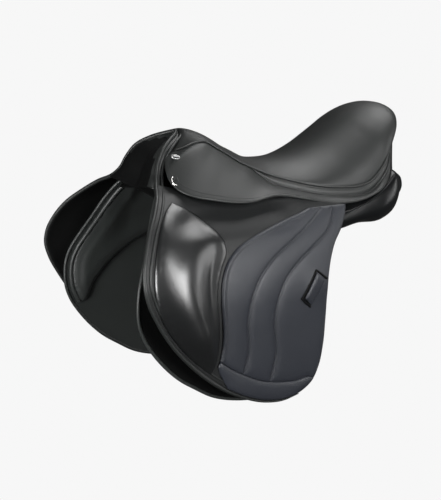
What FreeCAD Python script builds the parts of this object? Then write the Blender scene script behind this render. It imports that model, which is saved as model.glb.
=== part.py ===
import FreeCAD, Part
import math
import os

import Sketcher

# English jumping saddle. Front is -Y, the near (left) side is +X, up is +Z, all in millimetres.
# The origin is on the mid plane, at the level where the panels bear on the horse's back,
# straight under the lowest point of the seat.

NEAR = 1
OFF = -1
SIDES = ((NEAR, "near"), (OFF, "off"))

DIMENSIONS = {
    # flap: a quarter tube about a fore-and-aft axis that carries on down as an upright slab
    "flap_axis_x": -61.5,
    "flap_axis_z": -100.0,
    "flap_radius": 260.5,
    "flap_thickness": 5.0,
    "overlay_thickness": 2.5,
    "block_thickness": 20.0,
    "block_bevel": 7.0,
    # sweat flap, billets and buckle guard share a second axis
    "sweat_axis_x": -95.0,
    "sweat_axis_z": -90.0,
    "sweat_radius": 247.0,
    "sweat_thickness": 3.0,
    "billet_gap": 2.0,
    "billet_thickness": 4.0,
    "billet_width": 25.0,
    "billet_pitch": 34.0,
    "billet_hole": 5.5,
    "billet_hole_pitch": 25.0,
    "guard_gap": 0.5,
    "guard_thickness": 4.0,
    "slab_length": 720.0,
    "slab_drop": 260.0,
    # soft seat
    "foam_depth": 22.0,
    "cover_thickness": 3.0,
    "cover_inner_lift": 2.0,
    "seat_edge_height": 8.0,
    # leather skirts
    "skirt_thickness": 4.0,
    "gusset_thickness": 3.0,
    "facing_thickness": 4.0,
    "pommel_facing_height": 22.0,
    # tree
    "rail_width": 30.0,
    "rail_depth": 14.0,
    "rail_inset": 10.0,
    "rail_drop": 27.0,
    "spring_gap": 3.0,
    "spring_width": 18.0,
    "spring_thickness": 2.5,
    "web_width": 50.0,
    "web_thickness": 2.0,
    "web_gap": 3.0,
    "cross_web_drop": 18.0,
    "head_depth": 36.0,
    "cantle_depth": 22.0,
    "cantle_plate_thickness": 2.5,
    "plate_thickness": 3.0,
    "plate_depth": 28.0,
    "plate_gap": 0.3,
    "rivet_radius": 3.0,
    "bar_rivet_length": 3.0,
    "head_rivet_length": 2.0,
    # stirrup bar
    "bar_width": 8.0,
    "bar_height": 12.0,
    "bar_plate_height": 44.0,
    "bar_plate_thickness": 4.0,
    "bar_arm_width": 10.0,
    "pin_radius": 1.5,
    "pin_clearance": 0.06,
    "pin_length": 12.0,
    "pin_drill_length": 40.0,
    "catch_width": 7.4,
    "catch_heel": 4.6,
    "catch_tip": 3.0,
    "catch_height": 10.0,
    # small fittings
    "dee_radius": 11.0,
    "dee_wire": 1.75,
    "chape_bore": 2.0,
    "chape_wall": 1.6,
    "chape_length": 13.0,
    "badge_length": 16.0,
    "badge_width": 10.0,
    "badge_height": 3.5,
    "keeper_thickness": 3.0,
}

doc = FreeCAD.newDocument("EnglishSaddle")
sheet = doc.addObject("Spreadsheet::Sheet", "Dimensions")
for row, (alias, value) in enumerate(DIMENSIONS.items(), start=1):
    sheet.set("A%d" % row, alias)
    sheet.set("B%d" % row, str(value))
    sheet.setAlias("B%d" % row, alias)
doc.recompute()

SUB_PARTS = []


def size(alias):
    return float(getattr(sheet, alias))


def bind(item, **expressions):
    for name, expression in expressions.items():
        item.setExpression(name, expression)
    return item


def vector(x, y, z):
    return FreeCAD.Vector(x, y, z)


def add(kind, name):
    return doc.addObject(kind, name)


def sub_part(item, label):
    item.Label = label
    SUB_PARTS.append(item)
    return item


# ---------------------------------------------------------------- tables of the soft outline

# Seat stations from pommel to cantle: y, half width, height of the rim, height of the mid line.
SEAT = (
    (-182, 52, 166, 178),
    (-150, 58, 165, 177),
    (-120, 62, 149, 162),
    (-90, 67, 131, 148),
    (-55, 74, 113, 129),
    (-15, 87, 98, 121),
    (30, 103, 85, 120),
    (75, 115, 76, 129),
    (115, 123, 73, 146),
    (150, 126, 80, 166),
    (185, 124, 100, 187),
    (215, 118, 126, 203),
    (245, 104, 156, 212),
    (268, 80, 180, 214),
    (282, 50, 190, 211),
)

# Lower edge of the skirt: y, x, z.
SKIRT_EDGE = (
    (-228, 116, 90),
    (-185, 137, 75),
    (-144, 144, 68),
    (-108, 145, 67),
    (-60, 138, 74),
    (-33, 139, 71),
    (8, 144, 63),
    (46, 149, 53),
    (83, 152, 49),
    (116, 152, 49),
    (152, 148, 56),
    (185, 142, 67),
    (212, 129, 87),
)

FOLD_FRONT = (-215, 92, 124)
FOLD_REAR = (45, 124, 60)

# Top of the flap hinge on the outer face of the flap.
FLAP_HINGE_FRONT = (-255, 78)
FLAP_HINGE_SLOPE = -0.13


def between(table, y, column):
    first = table[0]
    if y <= first[0]:
        return first[column]
    for low, high in zip(table, table[1:]):
        if y <= high[0]:
            share = (y - low[0]) / (high[0] - low[0])
            return low[column] + share * (high[column] - low[column])
    return table[-1][column]


CROWN_POWER = 2.4


def seat_height(half_width, rim, top, x):
    return rim + (top - rim) * (1.0 - (abs(x) / half_width) ** CROWN_POWER)


def fold_point(y):
    share = (y - FOLD_FRONT[0]) / (FOLD_REAR[0] - FOLD_FRONT[0])
    x = FOLD_FRONT[1] + share * (FOLD_REAR[1] - FOLD_FRONT[1])
    z = FOLD_FRONT[2] + share * (FOLD_REAR[2] - FOLD_FRONT[2])
    return x, z


def hinge_height(y):
    return FLAP_HINGE_FRONT[1] + FLAP_HINGE_SLOPE * (y - FLAP_HINGE_FRONT[0])


# ---------------------------------------------------------------- builders

def spline(points):
    curve = Part.BSplineCurve()
    curve.interpolate([vector(*p) for p in points])
    return curve


def run_curve(points):
    if len(points) == 2:
        return Part.LineSegment(vector(*points[0]), vector(*points[1]))
    return spline(points)


def loft(label, wires):
    item = add("Part::Feature", label)
    item.Shape = Part.makeLoft(wires, True, False)
    item.Placement = FreeCAD.Placement()
    return item


def polygon(points):
    return Part.makePolygon([vector(*p) for p in points] + [vector(*points[0])])


def side_sketch(name, runs, holes=()):
    """Sketch in the plane of Y and Z, with its normal along +X."""
    sketch = add("Sketcher::SketchObject", name)
    turn = FreeCAD.Rotation(vector(0, 1, 0), vector(0, 0, 1), vector(1, 0, 0), "ZXY")
    sketch.Placement = FreeCAD.Placement(vector(0, 0, 0), turn)
    for points in runs:
        sketch.addGeometry(run_curve([(y, z, 0) for y, z in points]))
    for y, z, radius in holes:
        sketch.addGeometry(Part.Circle(vector(y, z, 0), vector(0, 0, 1), radius))
    return sketch


def side_prism(name, side, runs, holes=()):
    prism = add("Part::Extrusion", name + "_prism")
    prism.Base = side_sketch(name + "_outline", runs, holes)
    prism.DirMode = "Custom"
    prism.Dir = vector(side, 0, 0)
    prism.LengthFwd = 320
    prism.Solid = True
    return prism


def quarter(name, side, axis, radius):
    """Quarter cylinder from the horizontal up to the vertical, about a fore-and-aft axis."""
    tube = add("Part::Cylinder", name)
    bind(tube, Radius=radius, Height="Dimensions.slab_length")
    tube.Angle = 90
    if side == NEAR:
        turn = FreeCAD.Rotation(vector(1, 0, 0), vector(0, 0, 1), vector(0, -1, 0), "ZXY")
    else:
        turn = FreeCAD.Rotation(vector(0, 0, 1), vector(-1, 0, 0), vector(0, -1, 0), "ZXY")
    place = vector(side * size(axis + "_axis_x"), size("slab_length") / 2, size(axis + "_axis_z"))
    tube.Placement = FreeCAD.Placement(place, turn)
    return tube


def bent_sheet(label, side, axis, inner, outer, runs, holes=()):
    """Sheet between two radii (expressions) about an axis, cut to an outline seen from the side."""
    shell = add("Part::Cut", label + "_shell")
    shell.Base = quarter(label + "_outside", side, axis, outer)
    shell.Tool = quarter(label + "_inside", side, axis, inner)
    slab = add("Part::Box", label + "_slab")
    bind(slab, Length="(%s) - (%s)" % (outer, inner))
    bind(slab, Width="Dimensions.slab_length", Height="Dimensions.slab_drop")
    doc.recompute()
    reach = size(axis + "_axis_x") + shell.Base.Radius.Value
    left = reach - slab.Length.Value if side == NEAR else -reach
    low = size(axis + "_axis_z") - size("slab_drop")
    slab.Placement = FreeCAD.Placement(vector(left, -size("slab_length") / 2, low), FreeCAD.Rotation())
    whole = add("Part::Fuse", label + "_whole")
    whole.Base = shell
    whole.Tool = slab
    whole.Refine = True
    cut = add("Part::Common", label)
    cut.Base = whole
    cut.Tool = side_prism(label, side, runs, holes)
    return cut


def leather_sheet(label, *details):
    return sub_part(bent_sheet(label, *details), label)


def origin_plane(body, role):
    return [f for f in body.Origin.OriginFeatures if f.Role == role][0]


def pad(body, name, role, offset, runs, circles, length):
    """Pad of a closed outline on one of the body's origin planes; length is an expression."""
    sketch = body.newObject("Sketcher::SketchObject", name + "_sketch")
    sketch.AttachmentSupport = [(origin_plane(body, role), "")]
    sketch.MapMode = "FlatFace"
    sketch.AttachmentOffset = FreeCAD.Placement(vector(0, 0, offset), FreeCAD.Rotation())
    for points in runs:
        sketch.addGeometry(run_curve([(u, v, 0) for u, v in points]))
    for u, v, radius in circles:
        sketch.addGeometry(Part.Circle(vector(u, v, 0), vector(0, 0, 1), radius))
    feature = body.newObject("PartDesign::Pad", name)
    feature.Profile = sketch
    bind(feature, Length=length)
    return feature


def closed(points):
    """Straight runs round a closed outline."""
    return [[a, b] for a, b in zip(points, points[1:] + points[:1])]


# ---------------------------------------------------------------- seat

def seat_section(y, half_width, rim, top, grow, lift):
    """Closed section of the seat: crowned top, short sides and a bottom that follows the crown."""
    depth = size("foam_depth")
    shares = (-1.0, -0.8, -0.45, 0.0, 0.45, 0.8, 1.0)
    wide = half_width + grow
    upper = [(wide * s, y, seat_height(1, rim, top, s) + grow) for s in shares]
    edge = rim - size("seat_edge_height")
    lower = [(wide * s, y, seat_height(1, edge, top - depth, s) + lift) for s in shares]
    lower.reverse()
    edges = [spline(upper).toShape()]
    edges.append(Part.LineSegment(vector(*upper[-1]), vector(*lower[0])).toShape())
    edges.append(spline(lower).toShape())
    edges.append(Part.LineSegment(vector(*lower[-1]), vector(*upper[0])).toShape())
    return Part.Wire(edges)


def seat_foam():
    return sub_part(loft("seat_foam", [seat_section(*row, 0.0, 0.0) for row in SEAT]), "seat_foam")


def seat_cover(foam):
    thick = size("cover_thickness")
    rows = [list(row) for row in SEAT]
    rows[0][0] -= thick
    rows[-1][0] += thick
    lift = size("cover_inner_lift")
    skin = Part.makeLoft([seat_section(*row, thick, lift) for row in rows], True, False)
    item = add("Part::Feature", "seat_cover")
    item.Shape = skin.cut(foam.Shape)
    item.Placement = FreeCAD.Placement()
    return sub_part(item, "seat_cover")


# ---------------------------------------------------------------- tree

def rail_box(y, near_edge, far_edge, drop, thick, side):
    """Four corners of a strip that follows the crown of the seat, a given drop below it."""
    half_width = between(SEAT, y, 1)
    rim = between(SEAT, y, 2)
    top = between(SEAT, y, 3)
    heights = [seat_height(half_width, rim, top, x) - drop for x in (near_edge, far_edge)]
    return polygon([
        (side * near_edge, y, heights[0]),
        (side * far_edge, y, heights[1]),
        (side * far_edge, y, heights[1] - thick),
        (side * near_edge, y, heights[0] - thick),
    ])


RAIL_STATIONS = (-158, -120, -90, -55, -15, 30, 75, 115, 150, 185, 190)


def rail_edges(y):
    """Distance of the inner and outer edge of a rail from the mid plane."""
    outer = between(SEAT, y, 1) - size("rail_inset")
    return outer - size("rail_width"), outer


def rail(side, where):
    label = "tree_rail_" + where
    sections = []
    for y in RAIL_STATIONS:
        inner, outer = rail_edges(y)
        sections.append(rail_box(y, inner, outer, size("rail_drop"), size("rail_depth"), side))
    sub_part(loft(label, sections), label)


def rail_spring(side, where):
    label = "tree_spring_" + where
    sections = []
    for y in RAIL_STATIONS[1:-1]:
        middle = sum(rail_edges(y)) / 2
        half = size("spring_width") / 2
        drop = size("rail_drop") + size("rail_depth") + size("spring_gap")
        thick = size("spring_thickness")
        sections.append(rail_box(y, middle - half, middle + half, drop, thick, side))
    sub_part(loft(label, sections), label)


# Outer and inner line of the wooden head, seen from the front, from the crown down to the point.
HEAD_OUTER = ((0, 146), (30, 139), (62, 121), (90, 95), (110, 67))
HEAD_INNER = ((0, 126), (24, 120), (50, 104), (72, 82), (86, 67))
HEAD_FRONT = -199.0
PLATE_FRONT = -195.0


def mirrored(points):
    """Points from the off side over the crown to the near side."""
    return [(-x, z) for x, z in reversed(points[1:])] + list(points)


def arch_body(label, front, outer, inner, depth):
    body = add("PartDesign::Body", label)
    over = mirrored(outer)
    under = mirrored(inner)
    runs = [over, [over[-1], under[-1]], list(reversed(under)), [under[0], over[0]]]
    # the XZ origin plane looks along -Y, so the pad runs towards the front
    pad(body, label + "_pad", "XZ_Plane", -front - size_of(depth), runs, (), depth)
    return sub_part(body, label)


def size_of(expression):
    return size(expression.split(".")[1])


def shifted(points, distance):
    """Line moved outwards by a distance, square to its own run."""
    result = []
    for index, (x, z) in enumerate(points):
        before = points[max(index - 1, 0)]
        after = points[min(index + 1, len(points) - 1)]
        if index == 0:
            before = (-after[0], after[1])
        run = math.hypot(after[0] - before[0], after[1] - before[1])
        normal = ((before[1] - after[1]) / run, (after[0] - before[0]) / run)
        result.append((x + distance * normal[0], z + distance * normal[1]))
    return result


def head():
    arch_body("tree_head", HEAD_FRONT, HEAD_OUTER, HEAD_INNER, "Dimensions.head_depth")
    plate = size("plate_thickness")
    over = shifted(HEAD_OUTER[:4], size("plate_gap"))
    arch_body("head_plate", PLATE_FRONT, shifted(over, plate), over, "Dimensions.plate_depth")
    under = shifted(HEAD_INNER[:4], -size("plate_gap"))
    arch_body("gullet_plate", PLATE_FRONT, under, shifted(under, -plate), "Dimensions.plate_depth")


def cantle_strip(label, rows):
    """Loft across the saddle; each row gives x, then the front, back, low and high edge."""
    sections = []
    for x, front, back, low, high in rows:
        sections.append(polygon([(x, front, low), (x, back, low), (x, back, high), (x, front, high)]))
    return sub_part(loft(label, sections), label)


# Back of the wooden cantle: x, y, low edge, high edge; and of the plate behind it.
CANTLE = ((0, 268, 112, 178), (30, 265, 112, 176), (55, 255, 110, 164), (78, 236, 106, 142), (92, 216, 100, 118))
CANTLE_PLATE = ((0, 268.5, 120, 166), (30, 265.5, 120, 164), (55, 255.5, 118, 152), (78, 236.5, 114, 130))


def cantle():
    depth = size("cantle_depth")
    cantle_strip("tree_cantle", both_sides([(x, y - depth, y, low, high) for x, y, low, high in CANTLE]))
    thick = size("cantle_plate_thickness")
    rows = [(x, y, y + thick, low, high) for x, y, low, high in CANTLE_PLATE]
    cantle_strip("cantle_plate", both_sides(rows))


def both_sides(rows):
    return [(-row[0],) + row[1:] for row in reversed(rows[1:])] + list(rows)


WEB_STATIONS = (-150, -110, -70, -30, 10, 60, 110, 160, 205, 238)
CROSS_WEB_STATIONS = (-62, 28)
WEB_TO_RAIL = 2.0
CROSS_WEB_TO_RAIL = 12.0
WEB_SAG = 3.0


def webs():
    """Strip of webbing from head to cantle under the foam, and two cross webs under it."""
    thick = size("web_thickness")
    drop = size("foam_depth") + size("web_gap")
    sections = []
    for y in WEB_STATIONS:
        half = min(size("web_width") / 2, rail_edges(y)[0] - WEB_TO_RAIL)
        z = between(SEAT, y, 3) - drop
        edge = z - WEB_SAG
        sections.append(polygon([(-half, y, edge), (0, y, z), (half, y, edge),
                                 (half, y, edge - thick), (0, y, z - thick), (-half, y, edge - thick)]))
    sub_part(loft("seat_web", sections), "seat_web")
    bands = []
    for y in CROSS_WEB_STATIONS:
        z = between(SEAT, y, 3) - drop - size("cross_web_drop")
        bands.append(add("Part::Box", "girth_web_band"))
        bind(bands[-1], Width="Dimensions.web_width", Height="Dimensions.web_thickness")
        reach = rail_edges(y)[0] - CROSS_WEB_TO_RAIL
        bands[-1].Length = 2 * reach
        place = vector(-reach, y - size("web_width") / 2, z)
        bands[-1].Placement = FreeCAD.Placement(place, FreeCAD.Rotation())
    group = add("Part::Compound", "girth_webs")
    group.Links = bands
    sub_part(group, "girth_webs")


# ---------------------------------------------------------------- stirrup bars

BAR_FRONT = -160.0
BAR_END = -94.0
BAR_X = 85.0
BAR_Z = 76.0
BAR_ROOT_X = 57.0
BAR_PLATE_END = -100.0
PIN_Y = -87.5
PIN_Z = 82.0
EAR = 2.0
EAR_BEYOND_PIN = 4.0
FORK_DEPTH = 1.0


def stirrup_bar(side, where):
    label = "stirrup_bar_" + where
    body = add("PartDesign::Body", label + "_body")
    wide = size("bar_width")
    inner = BAR_ROOT_X
    arm = BAR_FRONT + size("bar_arm_width")
    ear_end = PIN_Y + EAR_BEYOND_PIN
    fork = BAR_END + FORK_DEPTH
    outline = [(inner, BAR_FRONT), (BAR_X + wide, BAR_FRONT), (BAR_X + wide, BAR_END)]
    outline += [(BAR_X + wide + EAR, BAR_END), (BAR_X + wide + EAR, ear_end)]
    outline += [(BAR_X + wide, ear_end), (BAR_X + wide, fork), (BAR_X, fork)]
    outline += [(BAR_X, ear_end), (BAR_X - EAR, ear_end), (BAR_X - EAR, BAR_END)]
    outline += [(BAR_X, BAR_END), (BAR_X, arm), (inner, arm)]
    outline = [(side * x, y) for x, y in outline]
    pad(body, label + "_bar", "XY_Plane", BAR_Z, closed(outline), (), "Dimensions.bar_height")
    outer = inner + size("bar_plate_thickness")
    plate = [(inner, BAR_FRONT), (outer, BAR_FRONT), (outer, BAR_PLATE_END), (inner, BAR_PLATE_END)]
    plate = [(side * x, y) for x, y in plate]
    pad(body, label + "_plate", "XY_Plane", BAR_Z, closed(plate), (), "Dimensions.bar_plate_height")
    bore = pin(side, label + "_bore", "Dimensions.pin_drill_length")
    bored = add("Part::Cut", label)
    bored.Base = body
    bored.Tool = bore
    sub_part(bored, label)


def pin(side, name, length):
    item = add("Part::Cylinder", name)
    bind(item, Radius="Dimensions.pin_radius", Height=length)
    middle = side * (BAR_X + size("bar_width") / 2)
    turn = FreeCAD.Rotation(vector(0, 1, 0), 90)
    item.Placement = FreeCAD.Placement(vector(middle - size_of(length) / 2, PIN_Y, PIN_Z), turn)
    return item


def catch(side, where):
    """Thumb catch: a round heel on the pin, a straight shank and a round tip."""
    label = "bar_catch_" + where
    heel = size("catch_heel")
    tip = size("catch_tip")
    tip_z = PIN_Z + size("catch_height")
    start = vector(PIN_Y - heel, PIN_Z, 0)
    body = add("PartDesign::Body", label)
    sketch = body.newObject("Sketcher::SketchObject", label + "_sketch")
    sketch.AttachmentSupport = [(origin_plane(body, "YZ_Plane"), "")]
    sketch.MapMode = "FlatFace"
    middle = side * (BAR_X + size("bar_width") / 2)
    offset = middle - size("catch_width") / 2
    sketch.AttachmentOffset = FreeCAD.Placement(vector(0, 0, offset), FreeCAD.Rotation())
    low = Part.Arc(start, vector(PIN_Y, PIN_Z - heel, 0), vector(PIN_Y + heel, PIN_Z, 0))
    high = Part.Arc(vector(PIN_Y + tip, tip_z, 0), vector(PIN_Y, tip_z + tip, 0), vector(PIN_Y - tip, tip_z, 0))
    sketch.addGeometry(low)
    sketch.addGeometry(Part.LineSegment(vector(PIN_Y + heel, PIN_Z, 0), vector(PIN_Y + tip, tip_z, 0)))
    sketch.addGeometry(high)
    sketch.addGeometry(Part.LineSegment(vector(PIN_Y - tip, tip_z, 0), start))
    bore = size("pin_radius") + size("pin_clearance")
    sketch.addGeometry(Part.Circle(vector(PIN_Y, PIN_Z, 0), vector(0, 0, 1), bore))
    lever = body.newObject("PartDesign::Pad", label + "_pad")
    lever.Profile = sketch
    bind(lever, Length="Dimensions.catch_width")
    sub_part(body, label)


BAR_RIVETS = ((-150, 108), (-110, 108))
BAR_RIVET_X = 61.2
HEAD_RIVETS = ((0, 150.4), (40, 139.9), (-40, 139.9))
HEAD_RIVET_Y = -181.0


def rivets():
    """Rivets through the stirrup bar plates and across the head, as one group of solids."""
    items = []
    for side, where in SIDES:
        for y, z in BAR_RIVETS:
            rivet = add("Part::Cylinder", "bar_rivet")
            bind(rivet, Radius="Dimensions.rivet_radius", Height="Dimensions.bar_rivet_length")
            turn = FreeCAD.Rotation(vector(0, 1, 0), 90 * side)
            rivet.Placement = FreeCAD.Placement(vector(side * BAR_RIVET_X, y, z), turn)
            items.append(rivet)
    for x, z in HEAD_RIVETS:
        rivet = add("Part::Cylinder", "head_rivet")
        bind(rivet, Radius="Dimensions.rivet_radius", Height="Dimensions.head_rivet_length")
        rivet.Placement = FreeCAD.Placement(vector(x, HEAD_RIVET_Y, z), FreeCAD.Rotation())
        items.append(rivet)
    group = add("Part::Compound", "tree_rivets")
    group.Links = items
    sub_part(group, "tree_rivets")


# ---------------------------------------------------------------- skirts and gussets

def strip(y, side, top, bottom, thick):
    """Section of a sheet from a top point to a bottom point, thick towards the horse."""
    run = math.hypot(bottom[0] - top[0], bottom[1] - top[1])
    inward = ((bottom[1] - top[1]) / run * thick, (top[0] - bottom[0]) / run * thick)
    return polygon([
        (side * top[0], y, top[1]),
        (side * bottom[0], y, bottom[1]),
        (side * (bottom[0] + inward[0]), y, bottom[1] + inward[1]),
        (side * (top[0] + inward[0]), y, top[1] + inward[1]),
    ])


def towards(start, end, distance):
    run = math.hypot(end[0] - start[0], end[1] - start[1])
    return (start[0] + (end[0] - start[0]) * distance / run,
            start[1] + (end[1] - start[1]) * distance / run)


GUSSET_DEPTH = 10.0
GUSSET_LEAN = 2.0
GUSSET_DROP = 7.0
SEAM_GAP = 1.0
GUSSET_STATIONS = (-150, -120, -90, -55, -15, 30, 75, 115, 150, 185, 206)


def gusset_top(y):
    x = between(SEAT, y, 1) + size("cover_thickness") + SEAM_GAP
    return x, between(SEAT, y, 2) - GUSSET_DROP


def skirt_top(y):
    x, z = gusset_top(y)
    return x + GUSSET_LEAN + SEAM_GAP, z - GUSSET_DEPTH - SEAM_GAP


def skirt_edge(y):
    return between(SKIRT_EDGE, y, 1), between(SKIRT_EDGE, y, 2)


SKIRT_FRONT_STATIONS = (-218, -185, -144, -108, -60, -33, 8, 44)
SKIRT_TAIL_STATIONS = (46, 83, 116, 152, 185, 206)
FOLD_GAP = 2.5


def skirts(side, where):
    thick = size("skirt_thickness")
    upper = []
    lower = []
    for y in SKIRT_FRONT_STATIONS:
        fold = fold_point(y)
        edge = skirt_edge(y)
        upper.append(strip(y, side, skirt_top(y), towards(fold, skirt_top(y), FOLD_GAP), thick))
        lower.append(strip(y, side, towards(fold, edge, FOLD_GAP), edge, thick))
    sub_part(loft("skirt_upper_" + where, upper), "skirt_upper_" + where)
    sub_part(loft("skirt_" + where, lower), "skirt_" + where)
    tail = [strip(y, side, skirt_top(y), skirt_edge(y), thick) for y in SKIRT_TAIL_STATIONS]
    sub_part(loft("skirt_tail_" + where, tail), "skirt_tail_" + where)


def gusset(side, where):
    sections = []
    for y in GUSSET_STATIONS:
        x, z = gusset_top(y)
        bottom = (x + GUSSET_LEAN, z - GUSSET_DEPTH)
        sections.append(strip(y, side, (x, z), bottom, size("gusset_thickness")))
    sub_part(loft("seat_gusset_" + where, sections), "seat_gusset_" + where)


# Back face of the cantle facing: x, y, low edge, high edge; rear top edge of the pommel facing: x, y, z.
CANTLE_FACING = ((0, 284, 100, 188), (30, 282, 100, 187), (58, 273, 99, 178), (84, 255, 97, 156),
                 (100, 234, 94, 128))
POMMEL_FACING = ((0, -195, 172), (14, -201, 168), (38, -220, 154), (50, -235, 138), (62, -245, 116),
                 (76, -250, 96))


def facings():
    """Leather over the back of the cantle, and over the front of the head."""
    thick = size("facing_thickness")
    cantle_strip("cantle_facing", both_sides([(x, y - thick, y, low, high) for x, y, low, high in CANTLE_FACING]))
    tall = size("pommel_facing_height")
    cantle_strip("pommel_facing", both_sides([(x, y - thick, y, z - tall, z) for x, y, z in POMMEL_FACING]))


# ---------------------------------------------------------------- panels

# Each station: y, then points of the section from the top round the outer face to the inside.
PANEL = (
    (-240, ((56, 84), (84, 56), (104, 22), (94, 4), (70, 34), (46, 70))),
    (-190, ((56, 76), (92, 44), (126, -14), (112, -36), (80, 10), (44, 60))),
    (-100, ((54, 70), (92, 42), (131, -34), (114, -56), (82, 0), (42, 50))),
    (0, ((54, 58), (92, 36), (127, -20), (110, -40), (82, -2), (42, 38))),
    (90, ((60, 46), (92, 35), (117, 4), (104, -13), (80, -3), (42, 28))),
    (165, ((74, 44), (106, 40), (113, 16), (96, 0), (66, 3), (42, 26))),
    (230, ((74, 86), (104, 70), (108, 22), (92, 3), (66, 6), (44, 50))),
    (262, ((74, 90), (94, 74), (96, 38), (84, 24), (68, 30), (56, 66))),
)


def panel(side, where):
    wires = []
    for y, points in PANEL:
        curve = Part.BSplineCurve()
        curve.interpolate([vector(side * x, y, z) for x, z in points], PeriodicFlag=True)
        wires.append(Part.Wire([curve.toShape()]))
    sub_part(loft("panel_" + where, wires), "panel_" + where)


# ---------------------------------------------------------------- flaps

FLAP_INNER = "Dimensions.flap_radius - Dimensions.flap_thickness"
FLAP_LINING = "Dimensions.flap_radius - 2 * Dimensions.flap_thickness"
FLAP_OUTER = "Dimensions.flap_radius"
OVERLAY_OUTER = "Dimensions.flap_radius + Dimensions.overlay_thickness"
BLOCK_OUTER = "Dimensions.flap_radius + Dimensions.block_thickness"
KEEPER_OUTER = "Dimensions.flap_radius + Dimensions.overlay_thickness + Dimensions.keeper_thickness"
SWEAT_INNER = "Dimensions.sweat_radius - Dimensions.sweat_thickness"
BILLET_INNER = "Dimensions.sweat_radius + Dimensions.billet_gap"
BILLET_OUTER = BILLET_INNER + " + Dimensions.billet_thickness"
GUARD_INNER = BILLET_OUTER + " + Dimensions.guard_gap"
GUARD_OUTER = GUARD_INNER + " + Dimensions.guard_thickness"

HINGE_GAP = 6.0
FLAP_TOP_FRONT = -262

FLAP_FRONT = ((-276, 74), (-304, 58), (-326, 36), (-344, 4), (-354, -30), (-348, -66),
              (-322, -118), (-275, -180), (-200, -246), (-113, -285), (-50, -286), (-10, -264),
              (10, -210), (16, -130), (19, -72), (44, -18), (76, 22), (80, 28))

LIP = ((-14, 29), (-100, 16), (-160, 6), (-196, -23), (-210, -77), (-207, -136), (-213, -187))
HEM = ((-213, -187), (-168, -221), (-108, -250), (-49, -261), (-8, -256))
OVERLAY_BACK = ((-8, -256), (6, -210), (12, -130), (15, -72), (40, -16), (62, 12), (66, 24))

KEEPER_SLOT = ((-5, -62), (-43, -102), (-34, -112), (4, -72))
KEEPER_TAB = [(-8, -70), (-38, -101), (-34, -107), (-2, -75)]
FLAP_TOP_EDGE = ((-20, 61), (-60, 70), (-108, 76), (-150, 76), (-185, 73))


def flap_pieces(side, where):
    corner = (FLAP_TOP_FRONT, hinge_height(FLAP_TOP_FRONT) - HINGE_GAP)
    top = [FLAP_FRONT[-1], corner, FLAP_FRONT[0]]
    runs = [list(FLAP_FRONT), top[:2], top[1:]]
    slot = [list(reversed(r)) for r in reversed(closed(list(KEEPER_SLOT)))]
    leather_sheet("flap_" + where, side, "flap", FLAP_INNER, FLAP_OUTER, runs + slot)
    over = [list(LIP), list(HEM), list(OVERLAY_BACK), [OVERLAY_BACK[-1], LIP[0]]]
    leather_sheet("flap_overlay_" + where, side, "flap", FLAP_OUTER, OVERLAY_OUTER, over + slot)
    leather_sheet("stirrup_keeper_" + where, side, "flap", FLAP_OUTER, KEEPER_OUTER, closed(KEEPER_TAB))
    stub = [(y, hinge_height(y)) for y in (FLAP_TOP_EDGE[-1][0], FLAP_TOP_EDGE[0][0])]
    edge = list(FLAP_TOP_EDGE)
    leather_sheet("flap_top_" + where, side, "flap", FLAP_LINING, FLAP_INNER,
                  [stub, [stub[1], edge[0]], edge, [edge[-1], stub[0]]])


BLOCK_FRONT = ((-258, 62), (-290, 50), (-312, 30), (-330, 0), (-340, -32), (-335, -64),
               (-310, -114), (-272, -166), (-234, -203))
BLOCK_BACK = ((-234, -203), (-217, -186), (-213, -136), (-214, -78), (-201, -28), (-186, -2),
              (-200, 26), (-226, 48), (-258, 62))


SHORTEST_RIM_EDGE = 80.0
FACE_TOLERANCE = 0.05


def knee_block(side, where):
    label = "knee_block_" + where
    square = bent_sheet(label + "_square", side, "flap", FLAP_OUTER, BLOCK_OUTER,
                        [list(BLOCK_FRONT), list(BLOCK_BACK)])
    doc.recompute()
    reach = size("flap_radius") + size("block_thickness")
    rim = []
    bevel = size("block_bevel")
    for number, edge in enumerate(square.Shape.Edges, start=1):
        middle = edge.valueAt((edge.FirstParameter + edge.LastParameter) / 2)
        ends = [v.Point for v in edge.Vertexes]
        if all(on_outer_face(side, p, reach) for p in ends + [middle]) and edge.Length > SHORTEST_RIM_EDGE:
            rim.append((number, bevel, bevel))
    soft = add("Part::Chamfer", label)
    soft.Base = square
    soft.Edges = rim
    sub_part(soft, label)


def on_outer_face(side, point, reach):
    across = side * point.x - size("flap_axis_x")
    up = max(point.z - size("flap_axis_z"), 0.0)
    return abs(math.hypot(across, up) - reach) < FACE_TOLERANCE


SWEAT_OUTLINE = ((-254, 84), (-280, 50), (-304, 4), (-328, -40), (-338, -78), (-334, -118),
                 (-312, -172), (-265, -225), (-190, -272), (-110, -288), (-50, -282), (-14, -256),
                 (0, -205), (8, -130), (14, -62), (40, -8), (64, 26), (68, 40))


SWEAT_TOP = ((20, 60), (-206, 64))


def sweat_flap(side, where):
    end = SWEAT_OUTLINE[-1]
    start = SWEAT_OUTLINE[0]
    rear, front = SWEAT_TOP
    runs = [list(SWEAT_OUTLINE), [end, rear], [rear, front], [front, start]]
    leather_sheet("sweat_flap_" + where, side, "sweat", SWEAT_INNER, "Dimensions.sweat_radius", runs)


BILLET_TOP = 58.0
BILLET_END = -232.0
BILLET_POINT = 20.0
BILLET_MIDDLE = -64.0
BILLET_NAMES = ("front", "middle", "rear")
BILLET_HOLES = 8
FIRST_HOLE_DROP = 5.0


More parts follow.
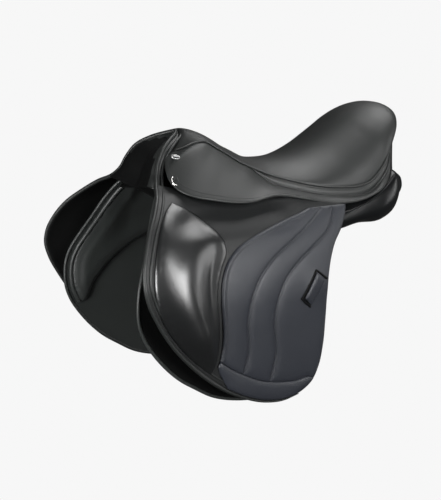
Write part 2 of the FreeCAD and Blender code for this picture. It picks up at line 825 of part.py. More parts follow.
def billets(side, where):
    half = size("billet_width") / 2
    radius = size("billet_hole") / 2
    for place, name in enumerate(BILLET_NAMES):
        y = BILLET_MIDDLE + (place - 1) * size("billet_pitch")
        shoulder = BILLET_END + BILLET_POINT
        outline = [(y - half, BILLET_TOP), (y - half, shoulder), (y, BILLET_END),
                   (y + half, shoulder), (y + half, BILLET_TOP)]
        lowest = shoulder - FIRST_HOLE_DROP
        holes = [(y, lowest + number * size("billet_hole_pitch"), radius) for number in range(BILLET_HOLES)]
        leather_sheet("billet_%s_%s" % (name, where), side, "sweat", BILLET_INNER, BILLET_OUTER,
                      closed(outline), holes)


GUARD_TOP = 46.0
GUARD_LOW = -18.0
GUARD_MARGIN = 8.0
GUARD_BOW = 12.0


def buckle_guard(side, where):
    reach = size("billet_pitch") + size("billet_width") / 2 + GUARD_MARGIN
    front = BILLET_MIDDLE - reach
    rear = BILLET_MIDDLE + reach
    lower = [(rear, GUARD_LOW), (BILLET_MIDDLE, GUARD_LOW - GUARD_BOW), (front, GUARD_LOW)]
    runs = [[(front, GUARD_TOP), (rear, GUARD_TOP)], [(rear, GUARD_TOP), lower[0]], lower,
            [lower[-1], (front, GUARD_TOP)]]
    runs = [list(reversed(r)) for r in reversed(runs)]
    leather_sheet("buckle_guard_" + where, side, "sweat", GUARD_INNER, GUARD_OUTER, runs)


# ---------------------------------------------------------------- small fittings

DEE_PLACE = (100.0, -234.0, 107.0)
SURFACE_SLOPE = 44.0


def on_surface(side, place):
    """Placement whose X runs down the leather, Y towards the front and Z out of the leather."""
    angle = math.radians(SURFACE_SLOPE)
    down = vector(side * math.cos(angle), 0, -math.sin(angle))
    out = vector(side * math.sin(angle), 0, math.cos(angle))
    forward = out.cross(down)
    position = vector(side * place[0], place[1], place[2])
    return FreeCAD.Placement(position, FreeCAD.Rotation(down, forward, out, "ZXY"))


def dee(side, where):
    """Half ring and straight bar, swinging in a leather chape."""
    label = "dee_" + where
    ring = add("Part::Torus", label + "_ring")
    bind(ring, Radius1="Dimensions.dee_radius", Radius2="Dimensions.dee_wire")
    ring.Angle3 = 180
    bar = add("Part::Cylinder", label + "_bar")
    bind(bar, Radius="Dimensions.dee_wire", Height="2 * (Dimensions.dee_radius + Dimensions.dee_wire)")
    turn = FreeCAD.Rotation(vector(0, 1, 0), 90)
    bar.Placement = FreeCAD.Placement(vector(-size("dee_radius") - size("dee_wire"), 0, 0), turn)
    whole = add("Part::Fuse", label)
    whole.Base = ring
    whole.Tool = bar
    place = on_surface(side, DEE_PLACE)
    if side == NEAR:
        whole.Placement = place.multiply(FreeCAD.Placement(vector(0, 0, 0), FreeCAD.Rotation(vector(0, 0, 1), 180)))
    else:
        whole.Placement = place
    sub_part(whole, label)
    chape(side, where)


def chape(side, where):
    label = "dee_chape_" + where
    outer = add("Part::Cylinder", label + "_outside")
    bind(outer, Radius="Dimensions.chape_bore + Dimensions.chape_wall", Height="Dimensions.chape_length")
    inner = add("Part::Cylinder", label + "_bore")
    bind(inner, Radius="Dimensions.chape_bore", Height="Dimensions.chape_length")
    turn = FreeCAD.Rotation(vector(0, 1, 0), 90)
    start = vector(-size("chape_length") / 2, 0, 0)
    for item in (outer, inner):
        item.Placement = FreeCAD.Placement(start, turn)
    loop = add("Part::Cut", label)
    loop.Base = outer
    loop.Tool = inner
    loop.Placement = on_surface(side, DEE_PLACE)
    sub_part(loop, label)


BADGE_PLACE = (74.0, -223.0, 144.0)


def badge(side, where):
    """Plain domed oval stud."""
    label = "badge_" + where
    dome = add("Part::Ellipsoid", label + "_dome")
    bind(dome, Radius1="Dimensions.badge_height", Radius2="Dimensions.badge_width / 2")
    bind(dome, Radius3="Dimensions.badge_length / 2")
    cutter = add("Part::Box", label + "_upper_half")
    bind(cutter, Length="2 * Dimensions.badge_length", Width="2 * Dimensions.badge_length")
    bind(cutter, Height="2 * Dimensions.badge_height")
    corner = vector(-size("badge_length"), -size("badge_length"), 0)
    cutter.Placement = FreeCAD.Placement(corner, FreeCAD.Rotation())
    half = add("Part::Common", label)
    half.Base = dome
    half.Tool = cutter
    half.Placement = on_surface(side, BADGE_PLACE)
    sub_part(half, label)


# ---------------------------------------------------------------- build, check and write

foam_item = seat_foam()
seat_cover(foam_item)
head()
cantle()
webs()
rivets()
facings()
for side_sign, side_name in SIDES:
    rail(side_sign, side_name)
    rail_spring(side_sign, side_name)
    stirrup_bar(side_sign, side_name)
    catch(side_sign, side_name)
    pin_item = pin(side_sign, "catch_pin_" + side_name, "Dimensions.pin_length")
    sub_part(pin_item, "catch_pin_" + side_name)
    skirts(side_sign, side_name)
    gusset(side_sign, side_name)
    panel(side_sign, side_name)
    flap_pieces(side_sign, side_name)
    knee_block(side_sign, side_name)
    sweat_flap(side_sign, side_name)
    billets(side_sign, side_name)
    buckle_guard(side_sign, side_name)
    dee(side_sign, side_name)
    badge(side_sign, side_name)

doc.recompute()

for item in doc.Objects:
    if "Invalid" in item.State or "Error" in item.State:
        raise RuntimeError("failed object: %s %s" % (item.Label, item.State))

SMALLEST_VOLUME = 1.0

os.makedirs("parts", exist_ok=True)
for item in SUB_PARTS:
    shape = item.Shape
    if shape.isNull() or not shape.isValid() or shape.Volume < SMALLEST_VOLUME:
        raise RuntimeError("bad shape: %s" % item.Label)
    print("%-24s solids %d volume %.0f" % (item.Label, len(shape.Solids), shape.Volume))
for item in SUB_PARTS:
    item.Shape.exportStep("parts/%s.step" % item.Label)
print("nodes: %d" % len(SUB_PARTS))
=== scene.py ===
import math

import bpy
import numpy as np
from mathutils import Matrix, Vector
from mathutils.geometry import delaunay_2d_cdt


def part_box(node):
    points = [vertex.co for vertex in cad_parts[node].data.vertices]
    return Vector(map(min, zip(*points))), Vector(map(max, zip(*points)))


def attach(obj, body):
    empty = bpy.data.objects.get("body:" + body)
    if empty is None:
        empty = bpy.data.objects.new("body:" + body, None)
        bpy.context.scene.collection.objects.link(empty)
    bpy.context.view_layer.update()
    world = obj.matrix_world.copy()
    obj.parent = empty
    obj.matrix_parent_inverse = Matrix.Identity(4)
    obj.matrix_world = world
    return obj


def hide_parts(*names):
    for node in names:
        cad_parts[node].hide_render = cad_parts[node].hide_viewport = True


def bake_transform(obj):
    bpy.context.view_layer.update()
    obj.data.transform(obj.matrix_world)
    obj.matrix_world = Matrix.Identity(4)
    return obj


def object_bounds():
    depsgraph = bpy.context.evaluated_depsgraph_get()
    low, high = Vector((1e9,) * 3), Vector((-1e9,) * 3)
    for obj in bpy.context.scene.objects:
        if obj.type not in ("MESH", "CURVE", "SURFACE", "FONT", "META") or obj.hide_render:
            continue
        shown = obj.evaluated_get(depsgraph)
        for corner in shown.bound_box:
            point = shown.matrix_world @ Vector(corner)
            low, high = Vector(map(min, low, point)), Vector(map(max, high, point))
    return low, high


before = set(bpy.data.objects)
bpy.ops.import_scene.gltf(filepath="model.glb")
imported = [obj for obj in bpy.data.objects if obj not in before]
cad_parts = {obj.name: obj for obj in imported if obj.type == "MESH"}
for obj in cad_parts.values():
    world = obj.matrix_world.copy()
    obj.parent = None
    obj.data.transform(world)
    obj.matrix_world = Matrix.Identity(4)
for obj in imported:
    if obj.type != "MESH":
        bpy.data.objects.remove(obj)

CAD_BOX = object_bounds()

# Lengths in this script are millimetres in the frame of the model: front is -Y, the near side
# is +X, up is +Z. MM turns them into metres when a mesh is made.
MM = 0.001
TINY = 1e-9
# Distance of a place that a face is meant to look towards.
FAR = 900


# ---- lines and surfaces

def smooth_line(points, step=3.0):
    """Smooth line through given points, sampled evenly at about the given step."""
    p = np.array(points, float)
    t = np.concatenate(([0.0], np.cumsum(np.linalg.norm(np.diff(p, axis=0), axis=1))))
    slope = np.gradient(p, t, axis=0)
    fine = np.linspace(0.0, t[-1], max(int(t[-1]), 8) * 2)
    i = np.clip(np.searchsorted(t, fine, side="right") - 1, 0, len(t) - 2)
    width = (t[i + 1] - t[i])[:, None]
    u = ((fine - t[i]) / (t[i + 1] - t[i]))[:, None]
    line = ((2 * u**3 - 3 * u**2 + 1) * p[i] + (u**3 - 2 * u**2 + u) * width * slope[i]
            + (3 * u**2 - 2 * u**3) * p[i + 1] + (u**3 - u**2) * width * slope[i + 1])
    return resample(line, max(int(length_of(line) / step), 4) + 1)


def length_of(line):
    return float(np.linalg.norm(np.diff(line, axis=0), axis=1).sum())


def resample(line, count):
    run = np.concatenate(([0.0], np.cumsum(np.linalg.norm(np.diff(line, axis=0), axis=1))))
    wanted = np.linspace(0.0, run[-1], count)
    return np.stack([np.interp(wanted, run, line[:, k]) for k in range(line.shape[1])], axis=1)


def smooth_step(value):
    t = np.clip(value, 0.0, 1.0)
    return t * t * (3 - 2 * t)


def bell(value, width):
    """1 where value is 0, and nearly nothing from about twice the width on."""
    return np.exp(-((value / width) ** 2))


def unit(vectors):
    """A vector, or the vectors along the last axis, brought to length 1."""
    return vectors / np.maximum(np.linalg.norm(vectors, axis=-1, keepdims=True), TINY)


def circle(count):
    """Cosine and sine of evenly spaced angles round one turn."""
    angles = [2 * math.pi * k / count for k in range(count)]
    return [(math.cos(angle), math.sin(angle)) for angle in angles]


def nearest(line, point):
    """Number of the point of a line that lies nearest to a place."""
    return int(np.argmin(np.linalg.norm(line - np.array(point), axis=1)))


def mirrored(points, side):
    p = np.array(points, float).copy()
    p[..., 0] *= side
    return p


def distance_to(points, line):
    """Distance of each point to a polyline, in whatever plane both are given."""
    best = np.full(len(points), 1e9)
    for a, b in zip(line[:-1], line[1:]):
        d = b - a
        t = np.clip(((points - a) @ d) / max(d @ d, TINY), 0, 1)
        best = np.minimum(best, np.linalg.norm(points - (a + t[:, None] * d), axis=1))
    return best


# ---- mesh makers

def make_mesh(name, vertices, faces, material):
    mesh = bpy.data.meshes.new(name)
    mesh.from_pydata((np.array(vertices, float) * MM).tolist(), [], [list(f) for f in faces])
    mesh.validate()
    mesh.update()
    mesh.polygons.foreach_set("use_smooth", [True] * len(mesh.polygons))
    mesh.materials.append(material)
    item = bpy.data.objects.new(name, mesh)
    bpy.context.scene.collection.objects.link(item)
    return item


def outward(item):
    """Makes the faces of a closed mesh point outwards."""
    import bmesh
    work = bmesh.new()
    work.from_mesh(item.data)
    bmesh.ops.remove_doubles(work, verts=work.verts, dist=1e-6)
    bmesh.ops.recalc_face_normals(work, faces=work.faces)
    work.to_mesh(item.data)
    work.free()
    item.data.update()
    return item


def grid_faces(rows, columns, wrap=False, start=0):
    faces = []
    for i in range(rows - 1):
        for j in range(columns if wrap else columns - 1):
            k = (j + 1) % columns
            faces.append((start + i * columns + j, start + i * columns + k,
                          start + (i + 1) * columns + k, start + (i + 1) * columns + j))
    return faces


def end_faces(count, sides, start=0):
    """The two faces that close a stack of rings, of which count points are in use."""
    last = start + count - sides
    return [tuple(range(start, start + sides)), tuple(range(last, last + sides))]


def grid_normals(grid):
    return unit(np.cross(np.gradient(grid, axis=0), np.gradient(grid, axis=1)))


def thick_grid(name, grid, thickness, material, side_out, steps=4):
    """Closed sheet from a grid of points: the grid is its outer face, with half-round edges.

    side_out is a point that the outer face looks towards."""
    normals = grid_normals(grid)
    middle = grid.reshape(-1, 3).mean(axis=0)
    if ((np.array(side_out) - middle) @ normals.reshape(-1, 3).mean(axis=0)) < 0:
        normals = -normals
    half = thickness / 2
    rows, columns = grid.shape[:2]
    core = grid - normals * half
    vertices = [core + normals * half, core - normals * half]
    faces = grid_faces(rows, columns) + grid_faces(rows, columns, start=rows * columns)
    border = [(0, j) for j in range(columns)]
    border += [(i, columns - 1) for i in range(1, rows)]
    border += [(rows - 1, j) for j in range(columns - 2, -1, -1)]
    border += [(i, 0) for i in range(rows - 2, 0, -1)]
    rim = np.array([core[i, j] for i, j in border])
    rim_normal = np.array([normals[i, j] for i, j in border])
    along = np.roll(rim, -1, axis=0) - np.roll(rim, 1, axis=0)
    away = unit(np.cross(along, rim_normal))
    if ((rim - core.reshape(-1, 3).mean(axis=0)) * away).sum() < 0:
        away = -away
    count = len(border)
    base = 2 * rows * columns
    extra = []
    for k in range(1, steps):
        angle = math.pi / 2 - math.pi * k / steps
        extra.append(rim + rim_normal * half * math.sin(angle) + away * half * math.cos(angle))
    top = [i * columns + j for i, j in border]
    low = [rows * columns + number for number in top]
    rings = [top] + [[base + k * count + n for n in range(count)] for k in range(steps - 1)] + [low]
    for a, b in zip(rings[:-1], rings[1:]):
        for n in range(count):
            m = (n + 1) % count
            faces.append((a[n], a[m], b[m], b[n]))
    everything = np.concatenate([v.reshape(-1, 3) for v in vertices] + extra)
    return outward(make_mesh(name, everything, faces, material))


TUBE_START = np.array([0.31, 0.17, 0.93])


def tube(name, line, radius, material, sides=12):
    """Round tube with domed ends along a line; radius is a number or one value for each point."""
    line = np.array(line, float)
    radii = np.broadcast_to(np.array(radius, float), (len(line),))
    tangent = unit(np.gradient(line, axis=0))
    vertices = []
    normal = np.cross(tangent[0], TUBE_START)
    for p, t, r in zip(line, tangent, radii):
        normal = unit(normal - t * (normal @ t))
        other = np.cross(t, normal)
        vertices += [p + r * (normal * c + other * s) for c, s in circle(sides)]
    faces = grid_faces(len(line), sides, wrap=True)
    for end, sign in ((0, -1), (len(line) - 1, 1)):
        cap = len(vertices)
        vertices.append(line[end] + sign * tangent[end] * radii[end] * 0.7)
        for k in range(sides):
            faces.append((end * sides + k, end * sides + (k + 1) % sides, cap))
    return outward(make_mesh(name, vertices, faces, material))


def join(name, items):
    """One mesh object out of two or more."""
    for item in bpy.context.selected_objects:
        item.select_set(False)
    for item in items:
        item.select_set(True)
    bpy.context.view_layer.objects.active = items[0]
    bpy.ops.object.join()
    whole = bpy.context.view_layer.objects.active
    whole.name = name
    whole.data.name = name
    return whole


def twin_of(item, name):
    """Mirror image of a near piece, for the off side."""
    mesh = item.data.copy()
    count = len(mesh.vertices)
    places = np.empty(count * 3, np.float32)
    mesh.vertices.foreach_get("co", places)
    places[0::3] *= -1
    mesh.vertices.foreach_set("co", places)
    mesh.flip_normals()
    mesh.name = name
    twin = bpy.data.objects.new(name, mesh)
    bpy.context.scene.collection.objects.link(twin)
    return twin


def finish(replaces):
    """Hides the CAD nodes that a piece stands for."""
    if replaces:
        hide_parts(*replaces)


def one(item, replaces=()):
    """Finishes a piece that lies across the mid plane and rides on the root."""
    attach(item, "root")
    finish(replaces)


def pair(item, replaces=(), rides=None, fold=None):
    """Finishes a near piece and its mirror image: names them, puts each on its body unless fold is given,
    and hides what they stand for.
    """
    base = item.name
    twin = twin_of(item, base + "_off")
    item.name = item.data.name = base + "_near"
    for side, where, piece in ((1, "near", item), (-1, "off", twin)):
        if fold:
            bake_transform(piece)
        else:
            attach(piece, rides + "_" + where if rides else "root")
        finish([name + "_" + where for name in replaces])


CLOTH = {"quality": 5, "mass": 0.3, "tension_stiffness": 40.0, "compression_stiffness": 40.0,
         "bending_stiffness": 4.0, "vertex_group_mass": "held", "use_pressure": True}
CLOTH_FRAMES = 20


def inflate(item, free, pressure, cap):
    """Cloth simulation that blows a closed piece up where free says so, at most cap mm."""
    mesh = item.data
    count = len(mesh.vertices)
    before = np.empty(count * 3)
    mesh.vertices.foreach_get("co", before)
    before = before.reshape(-1, 3)
    held = [int(n) for n in np.where(~free(before / MM))[0]]
    group = item.vertex_groups.new(name="held")
    group.add(held, 1.0, "REPLACE")
    cloth = item.modifiers.new("cloth", "CLOTH")
    for key, value in CLOTH.items():
        setattr(cloth.settings, key, value)
    cloth.settings.uniform_pressure_force = pressure
    cloth.settings.effector_weights.gravity = 0.0
    cloth.point_cache.frame_start = 1
    cloth.point_cache.frame_end = CLOTH_FRAMES
    for number in range(1, CLOTH_FRAMES + 1):
        bpy.context.scene.frame_set(number)
    shaped = item.evaluated_get(bpy.context.evaluated_depsgraph_get()).to_mesh()
    after = np.empty(count * 3)
    shaped.vertices.foreach_get("co", after)
    item.modifiers.clear()
    item.vertex_groups.clear()
    bpy.context.scene.frame_set(1)
    move = after.reshape(-1, 3) - before
    size = np.linalg.norm(move, axis=1, keepdims=True)
    move *= np.minimum(1.0, cap * MM / np.maximum(size, TINY))
    mesh.vertices.foreach_set("co", (before + move).ravel())
    mesh.update()


# Offsets of the rows of points beside a seam, and of those inside an edge as shares of its rim.
SEAM_ROWS = (0.0, 1.3, 2.8)
RIM_ROWS = (0.08, 0.35, 1.0)


def fill_outline(outline, spacing, rim, lines=()):
    """Triangles that fill a closed outline in a plane, with rows of points near its edge.

    lines are seams inside it: rows of points follow each one, so that a groove can be narrow.
    Returns the points, the triangles and the distance of each point to the outline."""
    loop = np.array(outline, float)
    if np.linalg.norm(loop[0] - loop[-1]) < 1e-6:
        loop = loop[:-1]
    closed = np.vstack([loop, loop[:1]])
    lo, hi = loop.min(axis=0), loop.max(axis=0)
    columns = np.arange(lo[0], hi[0], spacing)
    grid = []
    for number, height in enumerate(np.arange(lo[1], hi[1], spacing * 0.866)):
        shift = spacing / 2 if number % 2 else 0.0
        grid.append(np.stack([columns + shift, np.full(len(columns), height)], axis=1))
    grid = np.concatenate(grid)
    grid = grid[inside(grid, loop)]
    grid = grid[distance_to(grid, closed) > rim + spacing * 0.55]
    tangent = np.roll(loop, -1, axis=0) - np.roll(loop, 1, axis=0)
    normal = unit(np.stack([-tangent[:, 1], tangent[:, 0]], axis=1))
    if not inside(loop[:1] + normal[:1] * 0.5, loop)[0]:
        normal = -normal
    rows = []
    for share in RIM_ROWS:
        row = loop + normal * rim * share
        row = row[inside(row, loop)]
        rows.append(row[distance_to(row, closed) > rim * share * 0.8])
    for line in lines:
        grid = grid[distance_to(grid, line) > SEAM_ROWS[-1] + spacing * 0.5]
        way = np.gradient(line, axis=0)
        way = unit(np.stack([-way[:, 1], way[:, 0]], axis=1))
        for offset in SEAM_ROWS:
            for sign in ((1,) if offset == 0 else (1, -1)):
                row = line + way * offset * sign
                row = row[inside(row, loop)]
                rows.append(row[distance_to(row, closed) > rim + 1.0])
    points = np.concatenate([loop] + rows + [grid])
    edges = [(i, (i + 1) % len(loop)) for i in range(len(loop))]
    made = delaunay_2d_cdt([Vector(p) for p in points], edges, [], 1, 1e-5)
    spots = np.array([[v.x, v.y] for v in made[0]])
    triangles = np.array([tuple(f) for f in made[2]])
    return spots, triangles, distance_to(spots, closed)


def two_faced(item, other, way):
    """Gives the faces that look along x, in the sense of way, a second material: the near-black leather
    that paints shade on faces turned from the light.
    """
    item.data.materials.append(other)
    for face in item.data.polygons:
        if face.normal.x * way > 0.1:
            face.material_index = 1


def relaxed(values, triangles, held, rounds):
    """Evens out a value over a mesh, and leaves it alone where held is true."""
    pairs = np.concatenate([triangles[:, [0, 1]], triangles[:, [1, 2]], triangles[:, [2, 0]]])
    pairs = np.unique(np.sort(pairs, axis=1), axis=0)
    a = np.concatenate([pairs[:, 0], pairs[:, 1]])
    b = np.concatenate([pairs[:, 1], pairs[:, 0]])
    degree = np.maximum(np.bincount(a, minlength=len(values)), 1)
    for _ in range(rounds):
        mean = np.bincount(a, weights=values[b], minlength=len(values)) / degree
        values = np.where(held, values, mean)
    return values


def inside(points, loop):
    x, y = points[:, 0], points[:, 1]
    hit = np.zeros(len(points), bool)
    for (x1, y1), (x2, y2) in zip(loop, np.roll(loop, -1, axis=0)):
        cross = (y1 > y) != (y2 > y)
        at = x1 + (y - y1) / np.where(y2 == y1, TINY, y2 - y1) * (x2 - x1)
        hit ^= cross & (x < at)
    return hit


def pillow(name, outline, surface, half, material, relief=None, spacing=3.0, rim=2.0, lift=0.0,
           lines=(), rounds=0, inner=False):
    """Sheet on a surface x(y, z), with an edge that rounds off to nothing at its outline.

    half is half its thickness. relief(spots, distance) adds height to its outer face, or to its
    inner face where inner is true, and rounds is how often that height is evened out. lift is a
    number or a function of the spots."""
    spots, triangles, distance = fill_outline(outline, spacing, rim, lines)
    base, normal = surface_frame(surface, spots)
    share = np.clip(distance / rim, 0, 1)
    thickness = half * np.sqrt(np.clip(1 - (1 - share) ** 2, 0, 1))
    swell = np.zeros(len(spots))
    if relief is not None:
        swell = relief(spots, distance) * share
        swell = relaxed(swell, triangles, distance < rim * 0.9, rounds)
    raised = lift(spots) if callable(lift) else lift
    edge = distance < 1e-4
    over = raised + thickness + (0 if inner else swell)
    under = raised - thickness - (swell if inner else 0)
    top = base + normal * np.broadcast_to(over, len(spots))[:, None]
    low = base + normal * np.broadcast_to(under, len(spots))[:, None]
    number = np.full(len(spots), -1)
    number[~edge] = np.arange((~edge).sum()) + len(spots)
    number[edge] = np.where(edge)[0]
    faces = [tuple(f) for f in triangles]
    faces += [(number[c], number[b], number[a]) for a, b, c in triangles]
    faces = [f for f in faces if len(set(f)) == 3]
    return outward(make_mesh(name, np.concatenate([top, low[~edge]]), faces, material))


def surface_frame(surface, spots):
    """Points of a surface x(y, z) over spots in the y-z plane, and its normals there."""
    y, z = spots[:, 0], spots[:, 1]
    step = 1.0
    x = surface(y, z)
    dy = (surface(y + step, z) - surface(y - step, z)) / (2 * step)
    dz = (surface(y, z + step) - surface(y, z - step)) / (2 * step)
    return np.stack([x, y, z], axis=1), unit(np.stack([np.ones_like(x), -dy, -dz], axis=1))


STITCH_PITCH = 4.2
STITCH_LENGTH = 3.2
STITCH_LIFT = 0.25
# Place along a stitch, as a share of its length, and thickness there, as a share of its radius.
STITCH_RINGS = ((-0.5, 0.35), (-0.32, 1.0), (0.32, 1.0), (0.5, 0.35))
STITCH_SIDES = 6


def stitches(name, line, normals, material, radius=0.42):
    """Row of short raised threads along a line; normals is one vector or one for each point."""
    line = np.array(line, float)
    normals = np.broadcast_to(np.array(normals, float), line.shape)
    count = max(int(length_of(line) / STITCH_PITCH), 2)
    spots = resample(line, count * 2 + 1)
    ways = resample(np.concatenate([line, normals], axis=1), count * 2 + 1)[:, 3:]
    vertices = []
    faces = []
    for k in range(1, len(spots) - 1, 2):
        along = unit(spots[k + 1] - spots[k - 1])
        up = unit(ways[k] - along * (ways[k] @ along))
        wide = np.cross(along, up)
        start = len(vertices)
        for place, size in STITCH_RINGS:
            rise = STITCH_LIFT + (size - 1.0) * radius
            centre = spots[k] + along * STITCH_LENGTH * place + up * rise
            for c, s in circle(STITCH_SIDES):
                vertices.append(centre + radius * size * (wide * c + up * s))
        faces += grid_faces(len(STITCH_RINGS), STITCH_SIDES, wrap=True, start=start)
        faces += end_faces(len(vertices) - start, STITCH_SIDES, start)
    return outward(make_mesh(name, vertices, faces, material))


# ---- materials

def new_material(name, colour, roughness, metallic=0.0, coat=0.0, coat_roughness=0.2, specular=0.5):
    material = bpy.data.materials.new(name)
    material.use_nodes = True
    shader = material.node_tree.nodes["Principled BSDF"]
    shader.inputs["Base Color"].default_value = (*colour, 1.0)
    shader.inputs["Roughness"].default_value = roughness
    shader.inputs["Metallic"].default_value = metallic
    shader.inputs["Coat Weight"].default_value = coat
    shader.inputs["Coat Roughness"].default_value = coat_roughness
    shader.inputs["Specular IOR Level"].default_value = specular
    return material, shader


def node(material, kind, **values):
    """Adds a node. Each value sets the input or setting of its name, or is linked to that input."""
    item = material.node_tree.nodes.new(kind)
    for key, value in values.items():
        if key not in item.inputs:
            setattr(item, key, value)
        elif isinstance(value, bpy.types.NodeSocket):
            link(material, value, item.inputs[key])
        else:
            item.inputs[key].default_value = value
    return item


def link(material, source, target):
    material.node_tree.links.new(source, target)


def two_tones(material, shader, mask, colour, tint):
    """Base colour that wanders between two tones with a mask."""
    mix = node(material, "ShaderNodeMix", data_type="RGBA")
    mix.inputs[6].default_value = (*colour, 1.0)
    mix.inputs[7].default_value = (*tint, 1.0)
    link(material, mask, mix.inputs[0])
    link(material, mix.outputs[2], shader.inputs["Base Color"])


def uneven_polish(material, shader, mask, low, high):
    """Roughness that wanders between two values with a mask."""
    polish = node(material, "ShaderNodeMapRange", Value=mask)
    polish.inputs["To Min"].default_value = low
    polish.inputs["To Max"].default_value = high
    link(material, polish.outputs["Result"], shader.inputs["Roughness"])


def bumps(material, shader, *layers):
    """Relief out of layers laid over each other: height, strength, distance in metres."""
    under = None
    for height, strength, distance in layers:
        bump = node(material, "ShaderNodeBump", Strength=strength, Distance=distance, Height=height)
        if under:
            link(material, under, bump.inputs["Normal"])
        under = bump.outputs["Normal"]
    link(material, under, shader.inputs["Normal"])


def stretched(material, scale):
    """Coordinates squeezed along some axes, for a pattern with a grain."""
    place = node(material, "ShaderNodeTexCoord").outputs["Object"]
    stretch = node(material, "ShaderNodeMapping", Vector=place)
    stretch.inputs["Scale"].default_value = scale
    return stretch.outputs["Vector"]


WARP_REACH = 0.0012
CREASE_SCALE = 38.0
PATCH_SCALE = 9.0


def leather(name, colour, tint, roughness, spread, grain, depth, crease, specular=0.5):
    """Dyed leather: cells of grain, pores, soft creases, and uneven colour and polish.

    grain is the number of grain cells in a metre, depth and crease how proud they stand in metres."""
    material, shader = new_material(name, colour, roughness, specular=specular)
    place = node(material, "ShaderNodeTexCoord").outputs["Object"]
    warp = node(material, "ShaderNodeTexNoise", Scale=grain * 0.35, Detail=3.0, Vector=place)
    shifted = node(material, "ShaderNodeVectorMath", operation="MULTIPLY_ADD")
    shifted.inputs[1].default_value = (WARP_REACH, WARP_REACH, WARP_REACH)
    link(material, warp.outputs["Color"], shifted.inputs[0])
    link(material, place, shifted.inputs[2])
    cells = node(material, "ShaderNodeTexVoronoi", feature="DISTANCE_TO_EDGE", Scale=grain,
                 Vector=shifted.outputs[0])
    edge = node(material, "ShaderNodeMapRange", Value=cells.outputs["Distance"])
    edge.inputs["From Max"].default_value = 0.28
    pores = node(material, "ShaderNodeTexNoise", Scale=grain * 2.2, Detail=4.0, Vector=place)
    creases = node(material, "ShaderNodeTexNoise", Scale=CREASE_SCALE, Detail=6.0, Distortion=0.6,
                   Vector=place).outputs["Fac"]
    patches = node(material, "ShaderNodeTexNoise", Scale=PATCH_SCALE, Detail=5.0, Roughness=0.6,
                   Vector=place)
    bumps(material, shader, (edge.outputs["Result"], 0.6, depth), (pores.outputs["Fac"], 0.35, depth),
          (creases, 0.5, crease))
    two_tones(material, shader, patches.outputs["Fac"], colour, tint)
    uneven_polish(material, shader, creases, roughness - spread, roughness + spread)
    return material


def metal(name, colour, roughness, scratch):
    """Bare or plated metal with a fine brushed scatter in its polish."""
    material, shader = new_material(name, colour, roughness, metallic=1.0)
    lines = node(material, "ShaderNodeTexNoise", Scale=1.0, Detail=4.0,
                 Vector=stretched(material, (60.0, 900.0, 900.0))).outputs["Fac"]
    uneven_polish(material, shader, lines, max(roughness - scratch, 0.02), roughness + scratch)
    bumps(material, shader, (lines, 0.15, 0.00005))
    return material


def painted_wood(name, colour, tint):
    """Laminated beech under a dark varnish: layers and long fibres show through."""
    material, shader = new_material(name, colour, 0.5, coat=0.3, coat_roughness=0.3)
    fibres = node(material, "ShaderNodeTexNoise", Scale=3.0, Detail=6.0,
                  Vector=stretched(material, (30.0, 4.0, 320.0))).outputs["Fac"]
    two_tones(material, shader, fibres, colour, tint)
    bumps(material, shader, (fibres, 0.4, 0.0003))
    return material


def woven(name, colour, tint, pitch):
    """Plain weave of warp and weft threads; pitch is the thread spacing in metres."""
    material, shader = new_material(name, colour, 0.85)
    place = node(material, "ShaderNodeTexCoord").outputs["Object"]
    waves = []
    for direction in ("X", "Y"):
        waves.append(node(material, "ShaderNodeTexWave", bands_direction=direction,
                          Scale=1.0 / pitch / 3.1, Distortion=0.4, Vector=place))
    both = node(material, "ShaderNodeMath", operation="MULTIPLY")
    link(material, waves[0].outputs["Fac"], both.inputs[0])
    link(material, waves[1].outputs["Fac"], both.inputs[1])
    two_tones(material, shader, both.outputs[0], colour, tint)
    bumps(material, shader, (both.outputs[0], 0.8, 0.0005))
    return material


SEAT_LEATHER = leather("seat_leather", (0.0075, 0.0086, 0.0082), (0.0115, 0.0128, 0.0123),
                       0.47, 0.04, 900, 0.00008, 0.0003)
CALF_LEATHER = leather("calf_leather", (0.0040, 0.0044, 0.0046), (0.0060, 0.0064, 0.0067),
                       0.31, 0.03, 1100, 0.00003, 0.0001, specular=0.9)
SMOOTH_LEATHER = leather("smooth_leather", (0.0050, 0.0055, 0.0057), (0.0080, 0.0086, 0.0088),
                         0.48, 0.04, 900, 0.00006, 0.0003, specular=0.4)
FLAP_LEATHER = leather("flap_leather", (0.0150, 0.0166, 0.0212), (0.0222, 0.0243, 0.0299),
                       0.40, 0.05, 700, 0.00016, 0.0004, specular=0.4)
LINING_LEATHER = leather("lining_leather", (0.0195, 0.0218, 0.0208), (0.0280, 0.0310, 0.0298),
                         0.42, 0.05, 800, 0.0001, 0.0005)
# Near-black leather that paints shade: it goes on faces that lie in shadow, such as the hidden faces of
# the flaps and sweat flaps, the deep part of the head's lining and the slot round the keeper.
SHADE_LEATHER = leather("painted_shade_leather", (0.0012, 0.0013, 0.0013), (0.0022, 0.0024, 0.0024),
                        0.65, 0.05, 700, 0.00014, 0.0004, specular=0.12)
PANEL_LEATHER = leather("panel_leather", (0.0040, 0.0044, 0.0047), (0.0065, 0.0070, 0.0074),
                        0.29, 0.03, 1000, 0.00003, 0.0002, specular=0.3)
THREAD = leather("thread", (0.02, 0.021, 0.023), (0.035, 0.036, 0.04),
                 0.5, 0.06, 2500, 0.00005, 0.00005)
NICKEL = metal("nickel", (0.74, 0.73, 0.71), 0.16, 0.06)
PEWTER = metal("pewter", (0.50, 0.50, 0.49), 0.42, 0.06)
STEEL = metal("steel", (0.36, 0.37, 0.39), 0.38, 0.12)
WOOD = painted_wood("beech", (0.045, 0.028, 0.018), (0.11, 0.07, 0.04))
WEBBING = woven("webbing", (0.03, 0.03, 0.028), (0.075, 0.072, 0.065), 0.0012)
ENAMEL = new_material("badge_face", (0.02, 0.02, 0.022), 0.2, coat=0.8, coat_roughness=0.08)[0]


# ---- shared shape of the saddle

